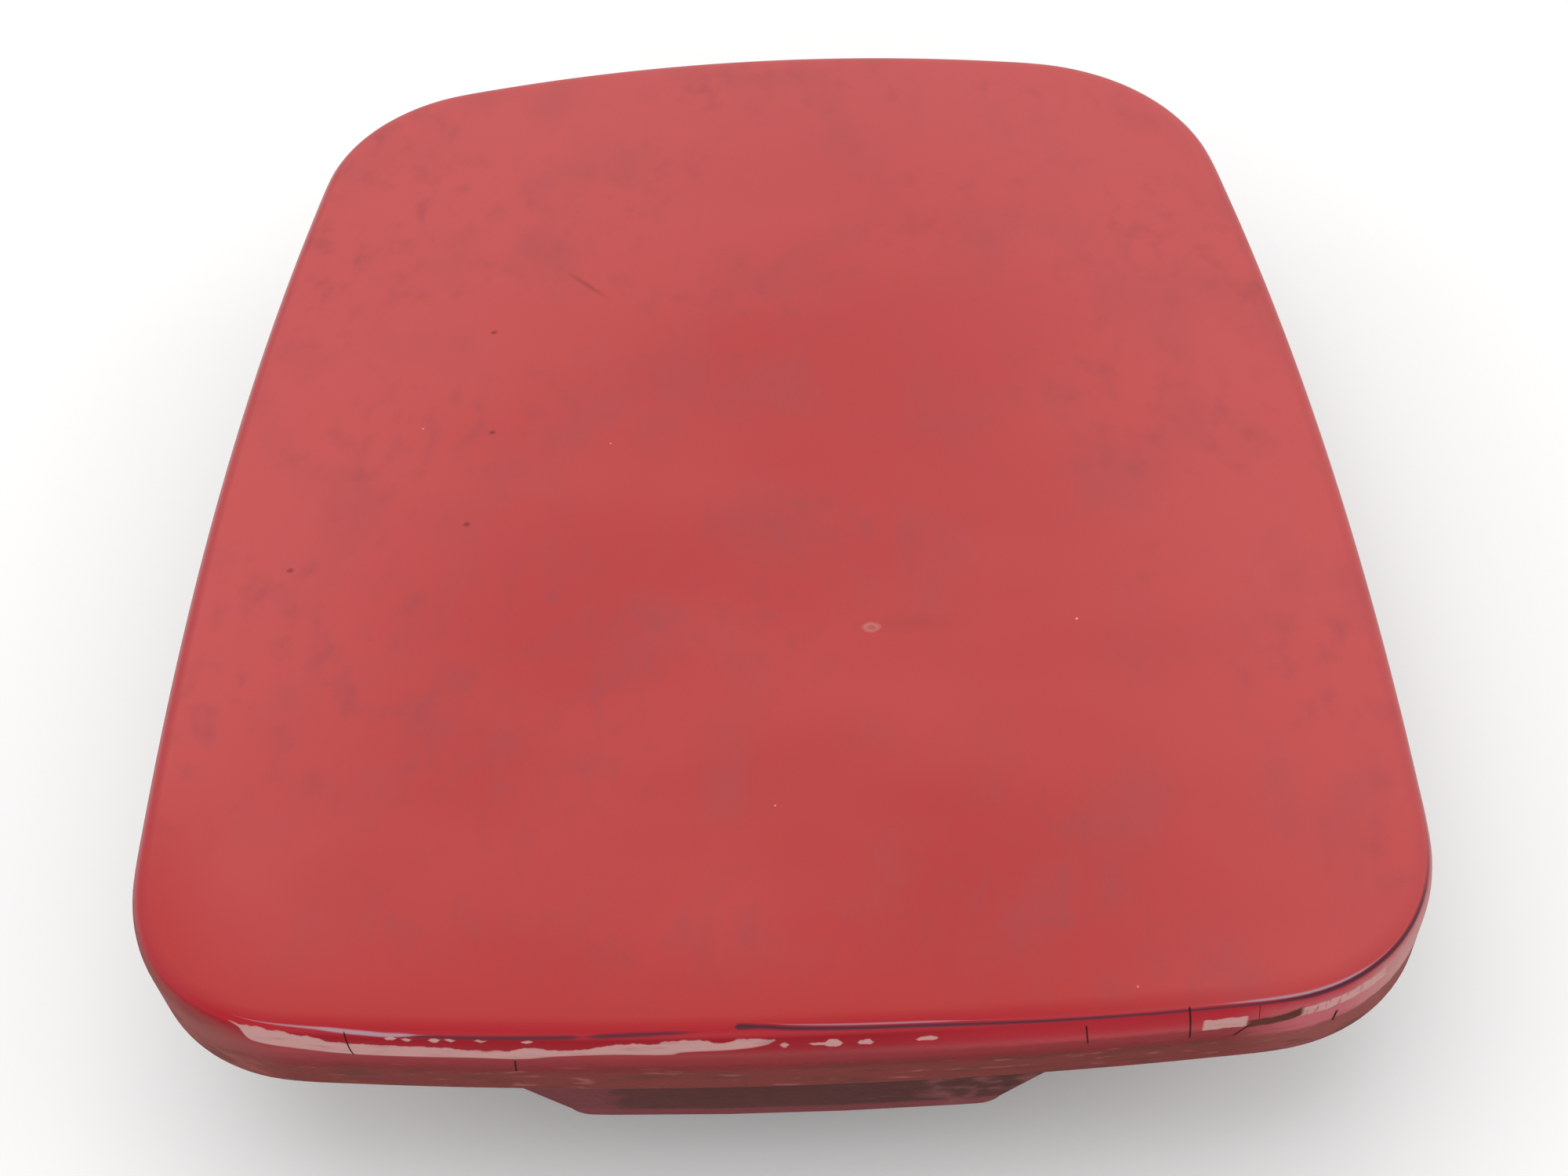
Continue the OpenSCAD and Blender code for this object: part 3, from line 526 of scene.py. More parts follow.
def close(tree, shader, surface, height):
    """Links a surface to its shader. The height is in mm, and the light sees its slopes."""
    tree.links.new(surface[0], shader.inputs["Base Color"])
    tree.links.new(surface[1], shader.inputs["Roughness"])
    bump = add(tree, "ShaderNodeBump", {"Height": height, "Distance": MM, "Strength": 1.0})
    tree.links.new(bump, shader.inputs["Normal"])


# %% [markdown]
# ## Aged red enamel
#
# Red body enamel over a grey primer, sprayed on bent sheet steel and never polished. The sun has
# turned the top chalky, with dull clouds where dust has settled, and a painted sheen makes the top
# pinker towards the sides and the far edge. The fold was sheltered and is still glossy and deep red,
# and below it the rim is painted darker downwards, a painted shade. Along the free edge lie a dark
# slate line where the fold starts, with a thin painted highlight beside it; then, where hands and
# the body have worn through to primer, a whitish band that flakes, cracks, and a dusty, scuffed
# foot. The paint reads how far along the sheet a point is, from the start of the fold, so that every
# line follows the edge.


# %% The enamel on the top
def chalky_top(tree, place):
    """The weathered top: a colour and a roughness, with a painted sheen towards the edges, clouds and
    dust.
    """
    # Painted sheen: the top is painted lighter and pinker away from the near middle.
    painted_sheen = [share_of_reach(tree, place, (0, -25, 0), (75, 125, 40)), 0.3, 1.05]
    painted_sheen = add(tree, "ShaderNodeMapRange", painted_sheen, interpolation_type="SMOOTHSTEP")
    lower_middle = spots(tree, place, [(-5, -78, 0)], (62, 40, 40), 0.7)
    far_bloom = clouds(tree, place, (60, 34, 60), 0.35, 0.7, 0.45, detail=2.0, shift=4.0)
    dull = clouds(tree, place, (13, 19, 13), 0.46, 0.8, 0.55, detail=6.0, shift=9.0)
    mottle = clouds(tree, place, (3.4, 4.8, 3.4), 0.46, 0.8, 0.55, detail=4.0)
    dusty_area = clouds(tree, place, (34, 22, 34), 0.42, 0.62, 1.0, shift=21.0)
    return layered(
        tree, (colour("#b54040"), 0.5),
        ([painted_sheen], "#bf5050", 0.55),
        ([lower_middle], "#b03938", 0.46),
        ([far_bloom], "#c15250", 0.55),
        ([dull], "#a64c4d", 0.6),
        ([mottle, dusty_area], "#9f474a", 0.62),
    )


# %% Marks on the top
def top_marks(tree, surface, place, tear):
    """A chip, dust specks and small scars that life has left on the top."""
    grey = spots(tree, place, [(0, -16, 0)], (7, 5, 9), 0.8)
    pits = [(-40.6, 4.4, 0), (-42.7, -13.2, 0), (-66.8, -19.7, 0), (-42.2, 25.8, 0)]
    pits = spots(tree, place, pits, (0.36, 0.3, 9), 0.9)
    turn = (0, 0, math.radians(45))
    turned_place = add(tree, "ShaderNodeMapping", {"Vector": place, "Rotation": turn})
    streak = spots(tree, turned_place, [(-45.3, 4.9, 0)], (3.2, 0.35, 30), 0.8)

    # Dust sits at the heart of some cells of a Voronoi pattern.
    cells = add(tree, "ShaderNodeTexVoronoi", {"Vector": place, "Scale": 1 / 13}).node.outputs
    chosen = add(tree, "ShaderNodeSeparateColor", [cells["Color"]], out="Red")
    chosen = add(tree, "ShaderNodeMath", [chosen, 0.3], operation="LESS_THAN")

    jagged = add(tree, "ShaderNodeVectorMath", [place, tear], operation="ADD")
    chip_rim = spots(tree, jagged, [(13.0, -34.5, 0)], (1.1, 0.75, 9), 0.3)
    chip_heart = spots(tree, jagged, [(13.0, -34.6, 0)], (0.7, 0.45, 9), 0.4)
    scrape = spots(tree, place, [(18.5, -34.0, 0)], (4.5, 0.9, 9), 0.9)
    return layered(
        tree, surface,
        ([(grey, 0.0, 1.0, 0.0, 0.3)], "#9a4a4a", 0.6),
        ([pits], "#7b3034", 0.6),
        ([(streak, 0.0, 1.0, 0.0, 0.4)], "#6e2c30", 0.6),
        ([(cells["Distance"], 0.018, 0.010), chosen], "#d89a92", 0.7),
        ([chip_rim], "#c4746f", 0.7),
        ([chip_heart], "#b45c5a", 0.7),
        ([(scrape, 0.0, 1.0, 0.0, 0.22)], "#853c40", 0.6),
    )


# %% The fold and the rim
def folded_rim(tree, surface, place, torn, sheet, free_edge):
    """Deeper red round the fold, glossy along the free edge, painted shade that darkens the rim
    downwards, and a dull, dusty rim below it.
    """
    level = add(tree, "ShaderNodeSeparateXYZ", [torn]).node.outputs
    x, ragged = level["X"], level["Y"]
    gloss = add(tree, "ShaderNodeMapRange", [sheet, 3.2, 3.7])
    rightwards = add(tree, "ShaderNodeMapRange", [x, 12.0, 34.0])
    below = add(tree, "ShaderNodeMapRange", [ragged, 3.6, 4.8])
    left_corner = add(tree, "ShaderNodeMapRange", [x, -59.0, -68.0])
    right_corner = add(tree, "ShaderNodeMapRange", [x, 53.0, 61.0])
    veins = clouds(tree, place, (9, 9, 2.4), 0.52, 0.64, 0.7, shift=3.0)
    surface = layered(
        tree, surface,
        ([(sheet, -12.0, 0.5, 0.0, 0.8), (x, 48.0, 10.0), free_edge], "#b03332", 0.42),
        ([(sheet, 1.0, 2.7), (x, 58.0, 15.0, 0.3, 1.0)], "#a71f29", 0.3),
        ([gloss, free_edge], "#90101e", 0.22),
        ([gloss, free_edge, rightwards], "#a21c29", 0.22),
        # Painted shade: these three bands paint the rim darker towards its foot.
        ([(ragged, 5.2, 6.2)], "#8d2228", 0.42),
        ([(ragged, 6.3, 7.5)], "#820d18", 0.45),
        ([(ragged, 7.8, 9.4)], "#720b12", 0.5),
        ([gloss, free_edge, rightwards, (ragged, 7.4, 6.6)], "#a21c29", 0.25),
        ([below, left_corner], "#82413d", 0.72),
        ([below, right_corner], "#ab4f57", 0.5),
        ([below, (x, 66.0, 74.0)], "#b27e7b", 0.7),
        ([below, left_corner, veins], "#7c2c30", 0.55),
    )

    # The foot is rough and dusty: brown dirt, with scuffs that show pink primer.
    foot = add(tree, "ShaderNodeMapRange", [ragged, 9.5, 10.6])
    low = add(tree, "ShaderNodeMapRange", [ragged, 8.4, 10.0])
    corners = add(tree, "ShaderNodeMath", [left_corner, right_corner], operation="MAXIMUM")
    scuffs = clouds(tree, place, (5.0, 5.0, 0.9), 0.58, 0.68, 0.6, detail=5.0)
    dirt = clouds(tree, place, (6.0, 6.0, 1.3), 0.5, 0.68, 0.7, detail=5.0, shift=7.0)
    return layered(
        tree, surface,
        ([foot], "#72332f", 0.85),
        ([foot, corners], "#824440", 0.85),
        ([low, scuffs], "#955753", 0.75),
        ([low, dirt], "#5d332e", 0.9),
    )


# %% The worn line and its painted highlight
def worn_line_and_highlight(tree, surface, level, sheet, free_edge):
    """The line where the fold starts: a dark slate line, with a thin painted highlight beside it."""
    x = level["X"]
    line = profile(tree, x, [
        (-66, 2.45), (-56, 2.7), (-49, 3.15), (-43, 3.4), (-30, 3.4), (-14, 2.95), (-5.5, 2.65),
        (-4.3, 2.3), (-3.6, 2.3), (2, 2.65), (8, 2.85), (17, 3.0), (33, 3.4), (49, 3.6), (65, 3.6),
        (80, 3.8)])
    dark_half = profile(tree, x, [
        (-47, 0.0), (-40, 0.34), (-24, 0.4), (-22.5, 0.16), (-20, 0.42), (-13, 0.36), (-9, 0.14),
        (-5, 0.06), (-4.2, 0.5), (-2, 0.4), (10, 0.36), (30, 0.33), (55, 0.3), (66, 0.44), (80, 0.34)])
    highlight_half = profile(tree, x, [
        (-65, 0.0), (-61, 0.12), (-54, 0.24), (-49, 0.36), (-43, 0.24), (-38, 0.0), (-4, 0.0),
        (2, 0.1), (10, 0.16), (17, 0.16), (24, 0.04), (46, 0.02), (54, 0.16), (62, 0.24), (70, 0.12),
        (76, 0.0)])
    dark = stripe(tree, sheet, line, dark_half, 0.3)

    # The painted highlight lies on the line at the left end, and a little above it elsewhere.
    lift = add(tree, "ShaderNodeMapRange", [x, -46.0, -36.0, 0.0, 0.42])
    highlight_line = add(tree, "ShaderNodeMath", [line, lift], operation="SUBTRACT")
    painted_highlight = stripe(tree, sheet, highlight_line, highlight_half, 0.2)
    solid, fading = (x, -10.0, 0.0, 0.85, 1.0), (level["Y"], -66.0, -76.0)
    return layered(
        tree, surface,
        ([dark, solid, free_edge, fading], "#4c2130", 0.45),
        ([painted_highlight, free_edge], "#a68590", 0.3),
    )


# %% The flaked band
def flaked_band(tree, surface, place, torn, level, sheet, free_edge):
    """Pale filler that shows in a long band, in crumbs beside it, and in two patches."""
    x, ragged = level["X"], add(tree, "ShaderNodeSeparateXYZ", [torn], out="Y")
    upper = profile(tree, x, [
        (-66, 3.7), (-64, 3.3), (-60, 3.3), (-56, 3.75), (-54, 4.15), (-50, 4.65), (-40, 4.85),
        (-32, 5.2), (-28.7, 4.8), (-26, 5.1), (-19, 4.3), (-17.8, 4.1), (-14.5, 4.35), (-12.7, 3.85),
        (-8, 3.9), (-6.4, 4.25), (-3.4, 3.75), (-0.4, 3.95), (2, 4.4)])
    lower = profile(tree, x, [
        (-66, 3.0), (-63.8, 3.6), (-62, 5.2), (-56.4, 5.8), (-50, 6.6), (-45, 6.75), (-36, 6.7),
        (-30, 6.85), (-26, 6.2), (-19, 5.8), (-12.4, 5.9), (-11, 5.5), (-5, 5.2), (-1.2, 4.6),
        (-0.4, 4.2), (2, 3.0)])
    under = add(tree, "ShaderNodeMath", [ragged, upper], operation="SUBTRACT")
    above = add(tree, "ShaderNodeMath", [lower, sheet], operation="SUBTRACT")
    band = joined(tree, [(under, -0.08, 0.08), (above, -0.1, 0.14), (x, 0.2, -0.2)], "MULTIPLY")
    crumb_half = profile(tree, x, [
        (-46, 0.0), (-45, 0.28), (-44.2, 0.0), (-43.3, 0.25), (-42.4, 0.0), (-41, 0.0), (-39.9, 0.3),
        (-39, 0.02), (-38.2, 0.26), (-37.2, 0.0), (-35.6, 0.0), (-34.5, 0.18), (-33.4, 0.0), (-30, 0.0),
        (-29, 0.26), (-28, 0.0), (0.3, 0.0), (1.0, 0.45), (1.6, 0.0), (3.4, 0.0), (4.4, 0.2), (5.4, 0.2),
        (6.0, 0.55), (7.0, 0.6), (7.9, 0.0), (9.2, 0.0), (9.7, 0.35), (10.8, 0.38), (11.4, 0.0),
        (16.0, 0.0), (16.6, 0.3), (17.8, 0.3), (18.8, 0.0)])
    crumb_row = add(tree, "ShaderNodeMapRange", [x, -28.0, 0.0, 3.82, 4.7])
    bare = [band, stripe(tree, ragged, crumb_row, crumb_half, 0.12)]
    for at, way_down, half_wide, half_high, slope, hatch in (
        (52.1, 6.2, 2.7, 1.15, 0.02, 0.0), (66.0, 5.75, 5.8, 0.85, 0.02, 1.0),
    ):
        row = [x, -slope, way_down + slope * at]
        row = add(tree, "ShaderNodeMath", row, operation="MULTIPLY_ADD")
        wide = stripe(tree, x, at, half_wide, 0.25)
        high = stripe(tree, ragged, row, half_high, 0.12)
        teeth = clouds(tree, place, (0.55, 3.0, 3.0), 0.3, 0.42, hatch, detail=1.0, shift=5.0)
        teeth = add(tree, "ShaderNodeMath", [teeth, 1.0 - hatch], operation="ADD")
        bare.append(joined(tree, [wide, high, teeth], "MULTIPLY"))
    bare = joined(tree, [joined(tree, bare, "MAXIMUM"), free_edge], "MULTIPLY")
    streaks = clouds(tree, place, (5.0, 5.0, 0.5), 0.5, 0.72, 0.45, detail=5.0, shift=2.0)
    return layered(tree, surface, ([bare], "#b88a86", 0.6), ([bare, streaks], "#946260", 0.7))


# %% Dirt and cracks
def dirt_and_cracks(tree, surface, torn, level, sheet, free_edge):
    """Dirt that fills a flake near the right corner, and thin cracks that run down the rim."""
    x, ragged = level["X"], add(tree, "ShaderNodeSeparateXYZ", [torn], out="Y")
    middle = profile(tree, x, [(54, 6.9), (57, 6.6), (59, 6.3), (62, 5.3)])
    flake = [stripe(tree, x, 58.0, 3.5, 0.6), stripe(tree, ragged, middle, 1.0, 0.35), free_edge]
    surface = layered(tree, surface, (flake, "#552a22", 0.85))
    for at, top, foot, half, lean in (
        (-50.4, 3.0, 6.9, 0.13, 0.17), (-31.0, 7.2, 10.2, 0.16, -0.1), (36.0, 4.2, 8.1, 0.13, 0.1),
        (48.0, 3.0, 9.0, 0.14, 0.07), (56.0, 3.6, 6.0, 0.07, 0.0), (54.2, 6.9, 9.4, 0.22, -0.75),
        (65.6, 7.9, 10.5, 0.2, -0.1),
    ):
        centre = (top + foot) / 2
        leaning = [sheet, lean, at - lean * centre]
        leaning = add(tree, "ShaderNodeMath", leaning, operation="MULTIPLY_ADD")
        narrow = stripe(tree, x, leaning, half, 0.06)
        crack = [narrow, stripe(tree, sheet, centre, (foot - top) / 2, 0.3), free_edge]
        surface = layered(tree, surface, (crack, "#32090d", 0.8))
    return surface


# %% The whole enamel
def aged_enamel():
    """Red enamel over primer on the skin, with everything that has worn it, and a painted sheen, painted
    shade and a painted highlight.
    """
    finish, tree, shader, place = new_finish("aged_red_enamel", IOR=1.5, Specular_IOR_Level=0.15)
    sheet = add(tree, "ShaderNodeAttribute", out="Fac", attribute_name="across")
    level = add(tree, "ShaderNodeSeparateXYZ", [place]).node.outputs
    face = add(tree, "ShaderNodeCombineXYZ", [level["X"], sheet, 0.0])
    tear = add(tree, "ShaderNodeTexNoise", {"Vector": place, "Scale": 0.7, "Detail": 4.0}, out="Color")
    tear = add(tree, "ShaderNodeVectorMath", [tear, (0.5, 0.5, 0.5)], operation="SUBTRACT")
    tear = add(tree, "ShaderNodeVectorMath", {0: tear, "Scale": 0.8}, operation="SCALE")
    torn = add(tree, "ShaderNodeVectorMath", [face, tear], operation="ADD")
    free_edge = add(tree, "ShaderNodeMapRange", [level["Y"], -52.0, -74.0])

    surface = chalky_top(tree, place)
    surface = top_marks(tree, surface, place, tear)
    surface = folded_rim(tree, surface, place, torn, sheet, free_edge)
    surface = worn_line_and_highlight(tree, surface, level, sheet, free_edge)
    surface = flaked_band(tree, surface, place, torn, level, sheet, free_edge)
    surface = dirt_and_cracks(tree, surface, torn, level, sheet, free_edge)
    surface = layered(tree, surface, ([(sheet, 15.2, 15.8)], "#6a3336", 0.6))

    # Orange peel of a millimetre or two, and a grainy foot.
    peel = clouds(tree, place, (1.6, 1.6, 1.6), 0.2, 0.8, 0.006, detail=2.0)
    grain = clouds(tree, place, (0.6, 0.6, 0.6), 0.2, 0.8, 0.06, detail=3.0, shift=1.0)
    foot = add(tree, "ShaderNodeMapRange", [sheet, 8.6, 10.6])
    height = add(tree, "ShaderNodeMath", [grain, foot, peel], operation="MULTIPLY_ADD")
    close(tree, shader, surface, height)
    return finish


red_enamel = aged_enamel()
print(f"aged red enamel: {len(red_enamel.node_tree.nodes)} nodes")

# %% [markdown]
# ## The other finishes
#
# Behind the skin, the steel is in brown primer with a thin veil of the body's red, because
# the inside of a flap is only sprayed over. Screws, bracket and pin are zinc plated and
# passivated, which leaves a faint yellow bloom on grey metal. The spring is oiled steel wire.
# The plastics are black nylon with a moulded grain, natural nylon in the bushes, and rubber.


# %% Primed steel
def primed_steel(name, veil):
    """Brown primer with a veil of red overspray, on pressed steel. Open for more layers."""
    finish, tree, shader, place = new_finish(name, Specular_IOR_Level=0.25)
    surface = clouded(
        tree, place, (colour("#481e1b"), 0.75),
        (dict(size=(14, 14, 10), low=0.35, high=0.7, strength=veil, shift=3.0), "#5e1620", 0.62),
        (dict(size=(2.4, 2.4, 2.4), low=0.5, high=0.8, strength=0.35, detail=6.0), "#331613", 0.85),
        (dict(size=(5, 5, 0.9), low=0.62, high=0.7, strength=0.5, detail=6.0, shift=8.0), "#6f3a3a", 0.7),
    )
    height = clouds(tree, place, (0.7, 0.7, 0.7), 0.2, 0.8, 0.03, detail=4.0)
    return finish, tree, shader, place, surface, height


def primed_lining():
    """The lining panel and the arm: primer under a heavier veil of red."""
    finish, tree, shader, _, surface, height = primed_steel("primer_with_red_overspray", 0.85)
    close(tree, shader, surface, height)
    return finish


def primed_latch_plate():
    """The latch plate: bare primer in the middle of its tab, red at its left end and lower edge."""
    finish, tree, shader, place, surface, height = primed_steel("scuffed_primer", 0.35)
    tear = clouds(tree, place, (2.5, 2.5, 2.0), 0.2, 0.8, 3.0, detail=5.0)
    level = add(tree, "ShaderNodeSeparateXYZ", [place]).node.outputs
    x = add(tree, "ShaderNodeMath", [level["X"], tear], operation="ADD")
    tab_foot = (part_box("latch_plate")[0].z - panel_top.z) / MM
    scuffs = clouds(tree, place, (3.2, 3.2, 1.6), 0.4, 0.66, 0.6, detail=4.0)
    surface = layered(
        tree, surface,
        ([(x, -18.5, -20.5, 0.0, 0.85)], "#64161f", 0.55),
        ([(level["Z"], tab_foot + 2.1, tab_foot + 1.5, 0.0, 0.85)], "#6c141e", 0.5),
        ([(x, 17.0, 21.0), scuffs], "#7c3f42", 0.65),
    )
    close(tree, shader, surface, height)
    return finish


overspray = primed_lining()
scuffed_primer = primed_latch_plate()


# %% Sealer and mastic
def seam_sealer():
    """Brushed-on seam sealer: dull, lumpy, and full of road dust."""
    finish, tree, shader, place = new_finish("dusty_seam_sealer", Specular_IOR_Level=0.25)
    surface = clouded(
        tree, place, (colour("#5e2f2b"), 0.9),
        (dict(size=(4, 4, 4), low=0.4, high=0.65, strength=0.8, detail=5.0), "#7c3634", 0.8),
        (dict(size=(1.2, 1.2, 1.2), low=0.52, high=0.68, strength=0.8, detail=5.0), "#4b2c28", 0.95),
    )
    close(tree, shader, surface, clouds(tree, place, (0.8, 0.8, 0.8), 0.2, 0.8, 0.12, detail=4.0))
    return finish


# %% Metals
def plated_zinc():
    """Passivated zinc on steel: a soft grey metal with a faint yellow bloom and dull spots."""
    finish, tree, shader, place = new_finish("passivated_zinc_plate", Metallic=1.0)
    surface = clouded(
        tree, place, (colour("#b4b3ab"), 0.34),
        (dict(size=(7, 7, 7), low=0.35, high=0.7, strength=0.6), "#b0a888", 0.4),
        (dict(size=(1.5, 1.5, 1.5), low=0.55, high=0.75, strength=0.6, detail=5.0), "#8f8f88", 0.55),
    )
    close(tree, shader, surface, clouds(tree, place, (0.5, 0.5, 0.5), 0.2, 0.8, 0.008))
    return finish


def oiled_wire():
    """Oil-tempered spring wire and clip steel: dark grey, smooth, with brown oil stains."""
    finish, tree, shader, place = new_finish("oiled_spring_steel", Metallic=1.0)
    stains = dict(size=(3, 3, 3), low=0.45, high=0.7, strength=0.6)
    surface = clouded(tree, place, (colour("#76777b"), 0.3), (stains, "#5c5450", 0.45))
    close(tree, shader, surface, clouds(tree, place, (2.5, 0.25, 0.25), 0.2, 0.8, 0.008))
    return finish


# %% Plastics and rubber
def moulded(name, tint, worn_tint, roughness, grain):
    """A moulded part: one colour, a fine grain from the mould, and a little handling wear."""
    finish, tree, shader, place = new_finish(name)
    wear = dict(size=(5, 5, 5), low=0.45, high=0.75, strength=0.5, detail=5.0)
    worn_roughness = min(1.0, roughness + 0.12)
    surface = clouded(tree, place, (colour(tint), roughness), (wear, worn_tint, worn_roughness))
    height = clouds(tree, place, (grain, grain, grain), 0.2, 0.8, grain * 0.06, detail=2.0)
    close(tree, shader, surface, height)
    return finish


sealer = seam_sealer()
zinc = plated_zinc()
spring_wire = oiled_wire()
black_nylon = moulded("moulded_black_nylon", "#1e1f21", "#34343a", 0.42, 0.5)
natural_nylon = moulded("natural_nylon", "#e2dac6", "#cfc3a6", 0.38, 0.6)
pad_rubber = moulded("epdm_rubber", "#1b1b1c", "#2f2e2d", 0.72, 0.35)
mastic = moulded("butyl_mastic", "#242120", "#3a3330", 0.6, 1.2)
print(f"{len(bpy.data.materials)} materials in the scene")

# %% [markdown]
# ## Skin and sealer
#
# The skin is one sheet. Its section starts in the middle of the top, runs out to the fold, over
# it and down the rim, round the cut edge, and back up the inside to the middle. The sealer is a
# bead that was brushed into the foot of the rim. It stops either side of the latch plate's tab,
# so it is an open sweep with tapered ends, and its lumps come from a small noise.

# %% Sizes of the sheets in mm, as in the CAD model
rim_depth = 12.5
fold_radius = 4.0
skin_sheet = 0.9
cut_edge = 0.4
lining_sheet = 0.8
lap_gap = 0.05

# %% Painted skin
shares = (0.0, 0.03, 0.1, 0.2, 0.32, 0.44, 0.56, 0.67, 0.77, 0.86, 0.93, 0.975)
outer_bend = fold(fold_radius, fold_radius, fold_radius, 0, 90, 14)
wall = [(0.0, drop) for drop in np.linspace(fold_radius, rim_depth - cut_edge, 9)[1:]]
foot = fold(cut_edge, rim_depth - cut_edge, cut_edge, 90, 180, 4)[1:]
foot += fold(skin_sheet - cut_edge, rim_depth - cut_edge, cut_edge, 180, 270, 4)
inner_wall = [(skin_sheet, drop) for drop in (11.0, 9.0, 7.0, 5.0)]
inner_bend = fold(fold_radius, fold_radius, fold_radius - skin_sheet, 90, 0, 8)
outer_path = outer_bend + wall + foot
steps = [math.dist(a, b) for a, b in zip(outer_path, outer_path[1:])]
way = [0.0] + [sum(steps[:i + 1]) for i in range(len(steps))]
INSIDE = 200.0
rows = [(fold_radius, 0.0, share, 0.0, 0.0) for share in shares]
rows += [(inset, drop, 1.0, 0.0, along) for (inset, drop), along in zip(outer_path, way)]
rows += [(inset, drop, 1.0, 0.0, INSIDE) for inset, drop in inner_wall + inner_bend]
rows += [(fold_radius, skin_sheet, share, 0.0, INSIDE) for share in reversed(shares)]
skin = swept("painted_skin", section_object("skin_section", rows), red_enamel, Around=440)
print(f"the rim's foot is {way[-1]:.1f} mm along the sheet")

# %% Sealer bead
bead_points = node_points("hem_sealer")
beside_tab = bead_points[bead_points[:, 1] < panel_top.y - 80 * MM]
gap_half = float(np.abs(beside_tab[:, 0]).min()) / rim_length
bead_heart = (skin_sheet + 1.2, rim_depth - 0.4)
bead_ring = [
    (skin_sheet + lap_gap, 11.5), (skin_sheet + lap_gap, 12.2), (1.4, 12.75), (2.1, 12.9),
    (2.7, 12.75), (3.1, 12.2), (3.2, 11.4), (2.6, 10.9), (1.85, 11.2), (1.4, 11.3), (0.95, 11.35),
]
bead_rows = [(inset, drop, 1.0, 0.0, 0.0) for inset, drop in bead_ring + bead_ring[:1]]
bead = swept(
    "sealer_bead", section_object("bead_section", bead_rows), sealer, Around=900, Start=0.5 + gap_half,
    Span=1 - 2 * gap_half, End_Taper=0.012, Heart=(bead_heart[0] * MM, bead_heart[1] * MM, 1.0),
    Lump_Height=0.5 * MM, Lump_Size=2.4 * MM,
)

# %% [markdown]
# ## Lining panel
#
# The lining is pressed from one sheet: a dished floor, a slope up to a shelf, and a flange folded
# down inside the rim. Every corner of its section is rounded as a press would leave it. The sweep
# makes one surface, Solidify gives it the sheet's thickness, and a boolean punches the holes for
# screws, rivets, buffers and drainage where the CAD model has them.


# %% Rounded section
def rounded(corners, radii, steps=5):
    """A path of (inset, drop, flatness) corners, each rounded to its own radius in mm."""
    corners = [Vector(corner) for corner in corners]
    points = [corners[0]]
    for before, corner, after, radius in zip(corners, corners[1:], corners[2:], radii):
        opening = (before - corner).angle(after - corner)
        reach = radius / math.tan(opening / 2)
        start = corner + (before - corner).normalized() * reach
        end = corner + (after - corner).normalized() * reach
        for share in np.linspace(0, 1, steps + 1):
            points.append(start * (1 - share) ** 2 + corner * 2 * share * (1 - share) + end * share ** 2)
    return points + [corners[-1]]


# %% Pressed sheet
dish_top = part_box("hinge_arm")[1].z + lining_sheet * MM
dish_drop = (panel_top.z - dish_top) / MM
flange = skin_sheet + lap_gap
corners = [(30, dish_drop, 1), (22, dish_drop, 1), (14, 4.2, 0), (flange, 4.2, 0), (flange, 11.3, 0)]
lining_rows = [(22, dish_drop, share, 1.0, 0.0) for share in shares]
lining_rows += [(inset, drop, 1.0, flat, 0.0) for inset, drop, flat in rounded(corners, (4, 4, 3.4))[1:]]
lining = swept("lining_panel", section_object("lining_section", lining_rows), overspray, Around=360)
sheet = lining.modifiers.new("sheet", "SOLIDIFY")
sheet.thickness, sheet.offset, sheet.use_even_offset = lining_sheet * MM, -1, True
print(f"dish {dish_drop:.2f} mm below the top")


# %% Holes
def drills(places):
    """Cylinders for holes through the dish. A place is x, y and radius in metres."""
    points, faces, sides = [], [], 40
    for x, y, radius in places:
        base = len(points)
        for z in (dish_top - 3 * MM, dish_top + 2 * MM):
            for side in range(sides):
                turn = math.tau * side / sides
                points.append((x + radius * math.cos(turn), y + radius * math.sin(turn), z))
        faces += [(base + i, base + (i + 1) % sides, base + sides + (i + 1) % sides, base + sides + i)
                  for i in range(sides)]
        faces += [[base + sides - 1 - i for i in range(sides)], [base + sides + i for i in range(sides)]]
    return mesh_object("drills", points, faces=faces)


drain_reach, drain_forward, drain_radius = 30 * MM, 4 * MM, 5 * MM
holes = [
    (panel_top.x + side * drain_reach, panel_top.y + drain_forward, drain_radius) for side in (-1, 1)]
for node, radius in (
    ("arm_screws", 2.75), ("striker_screws", 2.25), ("holder_rivets", 2.6), ("buffer_near_left", 3.0),
    ("buffer_near_right", 3.0), ("buffer_far_left", 3.0), ("buffer_far_right", 3.0),
):
    holes += [(*centre_of(low, high), radius * MM) for low, high in islands(node)]
drill = drills(holes)
punch = lining.modifiers.new("punch", "BOOLEAN")
punch.object, punch.solver = drill, "EXACT"
lining = finished(lining, "lining_panel")
bpy.data.objects.remove(drill)
smooth_by_angle(lining, 35)
print(f"{len(holes)} holes punched")

# %% [markdown]
# ## Spring
#
# A torsion spring is one wire: a leg on the bracket's foot, five and a half turns round the pin,
# and a leg on the arm. A loop works out its path from the pin and the wire, and Geometry Nodes
# sweep a round wire along it. The coil crosses the joint, and it is attached to neither body.


